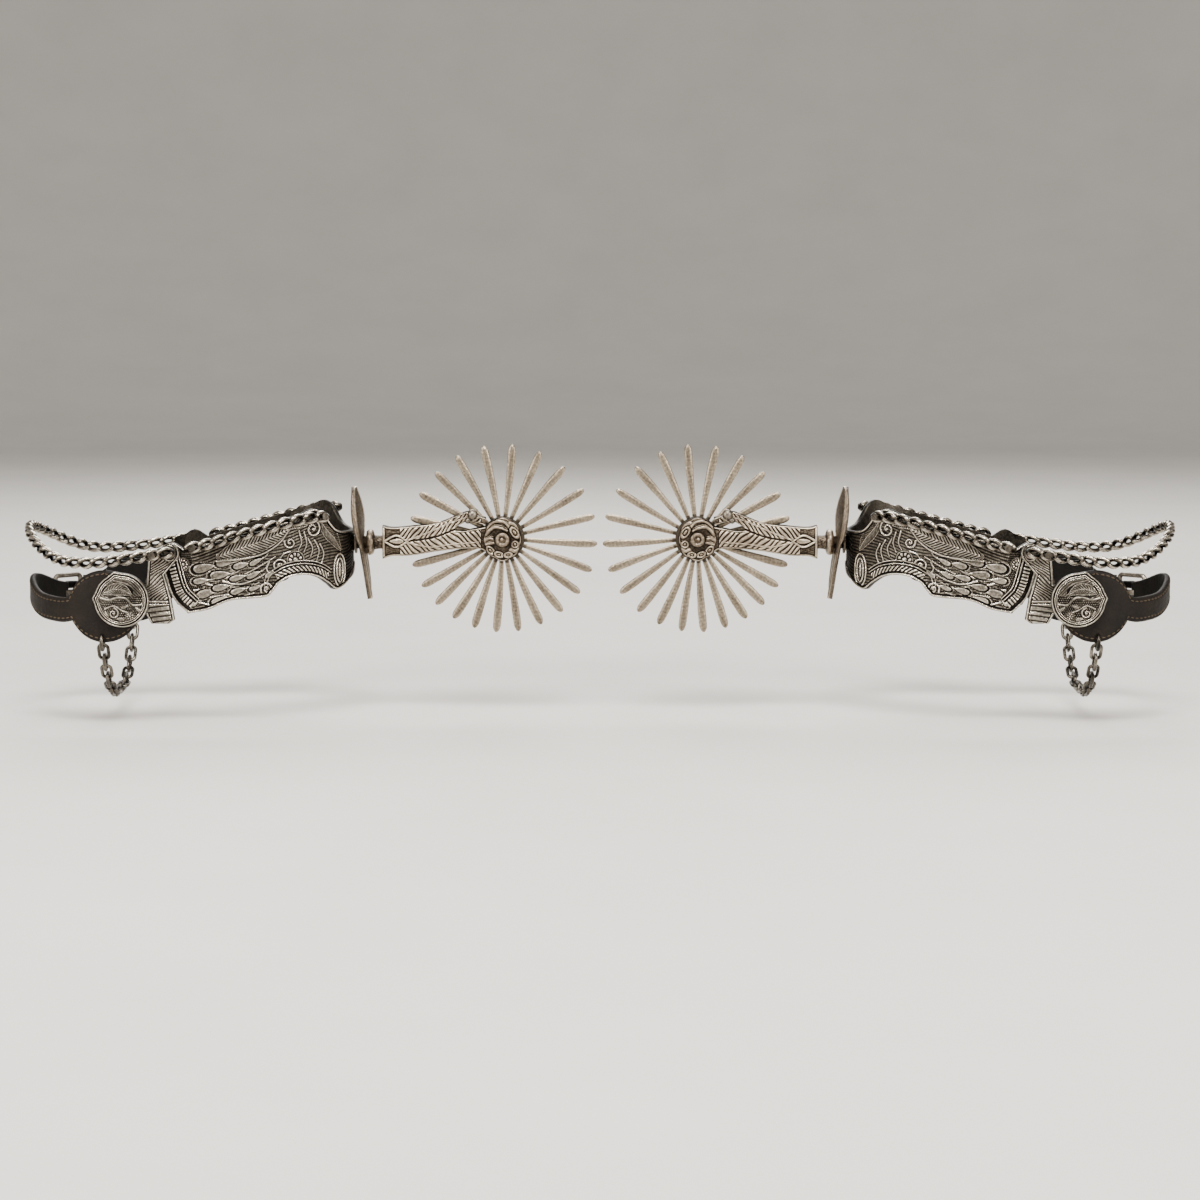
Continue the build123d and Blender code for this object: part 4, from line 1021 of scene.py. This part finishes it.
# ---- straps ----
STRIP = smooth_curve([(157, -13.5), (162, -17.6), (167.5, -22.6), (173, -25.6), (180, -25.8), (188, -24),
                      (196, -17)], 200)
STRAP_HALF_WIDTH = 5.0
STRAP_ROWS = 31
RAMP = (38.0, 47.0)
TIP_END = 68.0
TIP_IN = 43.2
FOLD_START = 49.0
FOLD_BOTTOM, FOLD_TOP = -30.0, -20.9
FOLD_RADIUS, FOLD_END_RADIUS = 1.75, 1.3
OUTER_THICK, INNER_THICK = 2.5, 2.7
EVEN_FROM = 146.9
BUCKLE_BAR = (41.1, math.radians(52.0))
SLOT_RANGE = (36.6, 55.4)
SLOT_HALF_TALL = 1.5
SLOT_BLEND = 4
BUCKLE_HEIGHT = -25.3
STITCH_INSET = 1.6
STITCH_GAP = 2.3
STITCH_HALF = 0.75
UNSTITCHED_DEGREES = (33.0, 61.5)


def strap_edges(forward):
    """Top and bottom of the strap with its round end."""
    middle = edge_height(STRIP, forward)
    top = np.where(forward >= STRIP[0, 0], middle + STRAP_HALF_WIDTH, -99)
    bottom = np.where(forward >= STRIP[0, 0], middle - STRAP_HALF_WIDTH, 99)
    arc = np.sqrt(np.clip(LOBE_RADIUS**2 - (forward - LOBE[0]) ** 2, 0, None))
    within = np.abs(forward - LOBE[0]) < LOBE_RADIUS
    top = np.where(within, np.maximum(top, LOBE[1] + arc), top)
    bottom = np.where(within, np.minimum(bottom, LOBE[1] - arc), bottom)
    return top, bottom


def on_loop(forward, angle, radius):
    """Places in plan at a radius: along a straight arm, then round the front loop."""
    straight = forward < LOOP_FORWARD
    u = np.where(straight, forward, LOOP_FORWARD + radius * np.cos(angle))
    return u, np.where(straight, np.sign(angle) * radius, radius * np.sin(angle))


def level_slot(height, bottom, top, hole):
    """Bend the rows beside the slot to the buckle tongue's height, blended in over a few columns."""
    first, last, low, high = hole
    for column in range(first - SLOT_BLEND, last + SLOT_BLEND + 1):
        share = 1 - max(first - column, column - last, 0) / (SLOT_BLEND + 1)
        level = np.interp(np.arange(STRAP_ROWS), (0, low, high, STRAP_ROWS - 1), (
            bottom[column], BUCKLE_HEIGHT - SLOT_HALF_TALL, BUCKLE_HEIGHT + SLOT_HALF_TALL, top[column]))
        height[column] += share * (level - height[column])


def cut_slot(faces, around, hole):
    """Leave the slot's quads out of a strap's two faces and line its edge."""
    first, last, low, high = hole
    column, row = np.divmod(np.arange(len(faces[0])), around)
    in_rows = (row >= low) & (row < high) | (row >= around - 1 - high) & (row < around - 1 - low)
    kept = faces[0][~(in_rows & (column >= first) & (column < last))]
    loop = [(c, low) for c in range(first, last)] + [(last, r) for r in range(low, high)]
    loop += [(c, high) for c in range(last, first, -1)] + [(first, r) for r in range(high, low, -1)]
    front = np.array([c * around + r for c, r in loop])
    rear = np.array([c * around + around - 1 - r for c, r in loop])
    lining = np.stack([front, np.roll(front, -1), np.roll(rear, -1), rear], -1)
    return [kept, *faces[1:], lining]


def strap_wall(forward, angle, seen, inner_radius, thick, hole=None):
    """A rounded strap along its stations; seen is each one's forward place in the side view."""
    top, bottom = strap_edges(seen)
    height = spread(bottom, top, STRAP_ROWS)
    if hole:
        level_slot(height, bottom, top, hole)
    edge = np.minimum(height - bottom[:, None], top[:, None] - height)
    round_off = 0.75 * unit(1 - edge / 0.9) ** 2
    crease = 0.28 * np.exp(-(((edge - 1.55) / 0.28) ** 2))
    grain = 0.05 * fine_noise(angle[:, None] * 40 * 0.7, height * 0.7)
    outer = inner_radius[:, None] + thick - round_off - crease + grain.clip(-0.05, 0)
    inner = inner_radius[:, None] + round_off * 0.8
    level = unit(0.85 - 1.6 * crease + 3 * grain)
    front, back = (np.stack([*on_loop(forward[:, None], angle[:, None], radius), height], -1)
                   for radius in (outer, inner))
    points, faces, relief = two_faced(front, back, level, 0.4)
    return points, cut_slot(faces, 2 * STRAP_ROWS, hole) if hole else faces, relief


def strap_stations(arm_hand, first, last, step=0.55):
    """Stations (forward, angle) from an arm's rear end round the front loop to an angle, in degrees."""
    rear = LOBE[0] - LOBE_RADIUS + 0.02 + 3.0 * np.linspace(0, 1, 16) ** 2
    arm = np.concatenate([rear, np.arange(EVEN_FROM, LOOP_FORWARD - 0.2, 0.4)])
    angles = np.radians(np.arange(first, last + 1e-6, step if last > first else -step))
    forward = np.concatenate([arm, np.full(len(angles), LOOP_FORWARD + 1.0)])
    angle = np.concatenate([np.full(len(arm), math.radians(90.0) * arm_hand), angles])
    return forward, angle


def seen_forward(forward, angle):
    """Where a station stands in the side view, at the strap's middle radius."""
    return np.where(forward < LOOP_FORWARD, forward, LOOP_FORWARD + (STRAP_IN + 1.4) * np.cos(angle))


def at_length(line, length, where):
    """The points of a polyline at some distances along it."""
    return np.column_stack([np.interp(where, length, line[:, k]) for k in range(3)])


def stitch_line(forward, angle, radius):
    """Stitches along both edges of a strap, as short rounded bars."""
    bars = []
    for edge, sign in zip(strap_edges(seen_forward(forward, angle)), (-1, 1)):
        line = np.column_stack([*on_loop(forward, angle, radius), edge + sign * STITCH_INSET])
        length = along(line)
        at = STITCH_GAP
        while at < length[-1] - STITCH_GAP:
            path = at_length(line, length, np.linspace(at - STITCH_HALF, at + STITCH_HALF, 5))
            bars.append(tube(path, np.array([0.14, 0.26, 0.3, 0.26, 0.14]), 6))
            at += STITCH_GAP
    return bars


def fold_rolls():
    """The two rolls of leather round the buckle's bar, below and above its tongue."""
    turn = np.linspace(0, 2 * np.pi, 28, endpoint=False)
    reach, bar = BUCKLE_BAR
    rolls = []
    tongue_gap = SLOT_HALF_TALL + 0.1
    for low, high in ((FOLD_BOTTOM, BUCKLE_HEIGHT - tongue_gap), (BUCKLE_HEIGHT + tongue_gap, FOLD_TOP)):
        rings = []
        for radius, h in ((FOLD_END_RADIUS, low), (FOLD_RADIUS, low + 0.35), (FOLD_RADIUS, high - 0.35),
                          (FOLD_END_RADIUS, high)):
            u = LOOP_FORWARD + reach * math.cos(bar) + radius * 1.25 * np.cos(turn + bar) * 0.95
            y = reach * math.sin(bar) + radius * np.sin(turn + bar) * 0.95
            rings.append(np.column_stack([u, y, np.full(len(turn), h)]))
        grid = np.array(rings)
        points, (quads, *caps), relief = closed_run(grid, np.full(grid.shape[:2], 0.7))
        rolls.append((points, [quads[:, ::-1], *caps], relief))
    return rolls


def straps(side):
    """The outer strap that runs on through the buckle, the short inner strap, and their stitching."""
    forward, angle = strap_stations(-1, -90.0, TIP_END)
    degrees = np.degrees(angle)
    on_arm = forward < LOOP_FORWARD
    ramp = unit((degrees - RAMP[0]) / (RAMP[1] - RAMP[0]))
    lift = (TIP_IN - STRAP_IN) * ramp**2 * (3 - 2 * ramp)
    inner = STRAP_IN + WALL_CLEARANCE + np.where(on_arm, 0, lift)
    columns = np.flatnonzero(~on_arm & (degrees > SLOT_RANGE[0]) & (degrees < SLOT_RANGE[1]))
    middle, half = STRAP_ROWS // 2, round(SLOT_HALF_TALL / (2 * STRAP_HALF_WIDTH) * (STRAP_ROWS - 1))
    hole = (int(columns[0]), int(columns[-1]), middle - half, middle + half)
    seen = seen_forward(forward, angle)
    past_lobe = np.maximum(seen, LOBE[0] + LOBE_RADIUS + 0.05)
    seen = np.where(~on_arm & (degrees > 40), past_lobe, seen)
    wall = strap_wall(forward, angle, seen, inner, OUTER_THICK, hole)
    make_piece("outer_strap_leather", wall, side, "yoke", STRAP_LEATHER, "leather", "outer_strap")
    keep = on_arm | (degrees < UNSTITCHED_DEGREES[0])
    stitches = stitch_line(forward[keep], angle[keep], STRAP_OUT - 0.42)
    forward, angle = strap_stations(1, 90.0, FOLD_START + 0.3)
    inner = np.full(len(forward), STRAP_IN + WALL_CLEARANCE)
    wall = strap_wall(forward, angle, seen_forward(forward, angle), inner, INNER_THICK)
    make_piece("inner_strap_leather", join([wall] + fold_rolls()), side, "yoke", STRAP_LEATHER, "leather",
               "inner_strap")
    keep = (forward < LOOP_FORWARD) | (np.degrees(angle) > UNSTITCHED_DEGREES[1])
    stitches += stitch_line(forward[keep], angle[keep], STRAP_OUT - 0.25)
    make_piece("strap_stitches", join(stitches), side, "yoke", THREAD, "leather")


# ---- curb chains ----
CHAIN_ROUTE = np.array([(60, 10.4), (68, 11.2), (74, 11.2), (80, 10.3), (86, 9.0), (118, 0.4), (126, -1.4),
                        (134, -2.8), (150, -5.2), (158, -6.2), (164, -6.7), (170, -6.7)])
INSTEP_REACH = 26.0
INSTEP_RISE = 13.5
CHAIN_PITCH = 5.4
BAND_CHAIN_RADIUS = 37.0
BAND_CHAIN_ANGLE = 50.4
BAND_LINKS = 11
INSTEP_CHAIN_RADIUS = 39.3
INSTEP_FORWARD = 133.0
INSTEP_LINKS = 33
LINK_REACH = 3.9
LINK_BEND = 1.5
LINK_WIRE = 0.98
LINK_TWIST = math.radians(58.0)


def chain_track(radius, first_angle):
    """A chain's route: round the heel from an angle, along the outer arm, round the front and back."""
    heel = np.radians(np.linspace(first_angle, 90, 60))
    front = np.radians(np.linspace(-90, 90, 200))
    arm = np.linspace(HEEL_FORWARD, LOOP_FORWARD, 100)[1:-1]
    forward = np.concatenate([
        HEEL_FORWARD - radius * np.cos(heel), arm, LOOP_FORWARD + radius * np.cos(front), arm[::-1]])
    across = np.concatenate([-radius * np.sin(heel), np.full(len(arm), -radius), radius * np.sin(front),
                             np.full(len(arm), radius)])
    beyond = np.clip(forward - CHAIN_ROUTE[-1, 0], 0, None)
    height = edge_height(CHAIN_ROUTE, forward) + INSTEP_RISE * (beyond / INSTEP_REACH) ** 2
    return np.column_stack([forward, across, height])


def twisted_links(track, places):
    """Curb links, each an oval ring of wire twisted along its length, at distances along a track."""
    length = along(track)
    turn = np.linspace(0, 2 * np.pi, 36, endpoint=False)
    reach = (LINK_REACH - LINK_WIRE) * np.cos(turn)
    width = LINK_BEND * squarish(np.sin(turn), 0.65)
    twist = LINK_TWIST * np.cos(turn)
    parts = []
    for at in places:
        here, behind, ahead = at_length(track, length, [at, at - 1.5, at + 1.5])
        tangent = (ahead - behind) / np.linalg.norm(ahead - behind)
        outward = np.cross(tangent, (0, 0, 1))
        outward /= np.linalg.norm(outward)
        up = np.cross(outward, tangent)
        ring = here + reach[:, None] * tangent
        ring = ring + (width * np.cos(twist))[:, None] * up + (width * np.sin(twist))[:, None] * outward
        link = tube(ring, LINK_WIRE, 10, closed=True)
        off = link[0] - here
        off = off - (off @ tangent)[:, None] * tangent
        # darker towards each link's ends and inner side, where the links interlock, brighter on its outer
        # wire: partly wear, partly painted shade in the gaps between links
        wear = 1.5 * np.linalg.norm(off, axis=1) / (LINK_BEND + LINK_WIRE) - 0.45
        parts.append(toned(link, np.clip(wear, 0.02, 1)))
    return join(parts)


def curb_chains(side):
    """The chains along the band's top edge and the long one over the instep."""
    track = chain_track(BAND_CHAIN_RADIUS, BAND_CHAIN_ANGLE)
    points, faces, relief = twisted_links(track, CHAIN_PITCH * np.arange(BAND_LINKS))
    for name, hand in HANDS:
        links = (points * (1.0, -hand, 1.0), faces, relief)
        make_piece(
            f"{name}_curb_links", links, side, "spur", ROPE_METAL, "chain_silver", f"{name}_band_chain")
    track = chain_track(INSTEP_CHAIN_RADIUS, BAND_CHAIN_ANGLE)
    track = track[track[:, 0] >= INSTEP_FORWARD]
    links = twisted_links(track, np.linspace(0, along(track)[-1], INSTEP_LINKS))
    make_piece("instep_curb_links", links, side, "yoke", ROPE_METAL, "chain_silver", "instep_chain")


# ---- stage, light and camera ----
FLOOR_PROFILE = [(0.01, 0.0), (1.0, 0.0), (2.2, 0.0)]
SWEEP_START, SWEEP_RADIUS, SWEEP_TOP = 2.2, 1.6, (3.8, 4.0)
LIGHTS = (
    ("key", (0.0, -0.8, 1.2), 0.55, 36.0, (1.0, 0.97, 0.92)),
    ("left strip", (-0.95, -0.75, 0.4), 0.3, 13.0, (1.0, 0.96, 0.9)),
    ("right strip", (0.95, -0.75, 0.4), 0.3, 13.0, (1.0, 0.96, 0.9)),
    ("back", (0.0, 1.0, 1.0), 0.9, 24.0, (1.0, 0.98, 0.95)),
)
CAMERA_DISTANCE = 1.17
CAMERA_ELEVATION = math.radians(6.0)
CAMERA_BELOW_AXLE = 0.0255


def aim(obj, place, target):
    """Stand a light or the camera somewhere, looking at a target."""
    obj.location = place
    obj.rotation_euler = (Vector(target) - obj.location).to_track_quat("-Z", "Y").to_euler()


def floor_and_light():
    """A plain pale floor that sweeps up out of sight all round, and soft studio light."""
    ground = AXLE_Z - GROUND_BELOW_AXLE * MM
    turn = np.linspace(0, 2 * np.pi, 96, endpoint=False)
    sweep = [(SWEEP_START + SWEEP_RADIUS * math.sin(a), SWEEP_RADIUS * (1 - math.cos(a)))
             for a in np.linspace(0, np.pi / 2, 20)]
    profile = FLOOR_PROFILE + sweep + [SWEEP_TOP]
    points = [(r * math.cos(t), r * math.sin(t), ground + z) for r, z in profile for t in turn]
    mesh = bpy.data.meshes.new("floor")
    quads = grid_faces(len(profile), len(turn), wrap_rows=True).tolist()
    mesh.from_pydata(points, [], quads + [list(range(len(turn)))])
    mesh.polygons.foreach_set("use_smooth", np.full(len(mesh.polygons), True))
    look = Look("pale_floor")
    look.set(Base_Color=look.ramp(look.noise(9.0), (0.3, (0.60, 0.58, 0.55)), (0.7, (0.64, 0.62, 0.59))),
             Roughness=0.85)
    mesh.materials.append(look.material)
    put("floor", mesh)
    world = bpy.data.worlds.new("studio")
    bpy.context.scene.world = world
    world.use_nodes = True
    backdrop = world.node_tree.nodes["Background"]
    backdrop.inputs["Color"].default_value = (0.86, 0.85, 0.83, 1.0)
    backdrop.inputs["Strength"].default_value = 0.7
    for name, place, size, power, colour in LIGHTS:
        data = bpy.data.lights.new(name, "AREA")
        data.size = size
        data.energy = power
        data.color = colour
        aim(put(name, data), place, (0, 0, 0))


def camera():
    """Nearly side-on, from a little above the shanks."""
    data = bpy.data.cameras.new("camera")
    data.lens = 85.0
    view = put("camera", data)
    target = Vector((0.0, 0.0, AXLE_Z - CAMERA_BELOW_AXLE))
    back = Vector((0, -math.cos(CAMERA_ELEVATION), math.sin(CAMERA_ELEVATION)))
    aim(view, target + CAMERA_DISTANCE * back, target)
    bpy.context.scene.camera = view


BUILDERS = (heel_band, carved_discs, pin_heads, shank, hangers, rowel, guard_plate, straps, curb_chains)
finish_cad_nodes()
for spur_side in SIDES:
    for build in BUILDERS:
        build(spur_side)
floor_and_light()
camera()
bpy.context.view_layer.update()
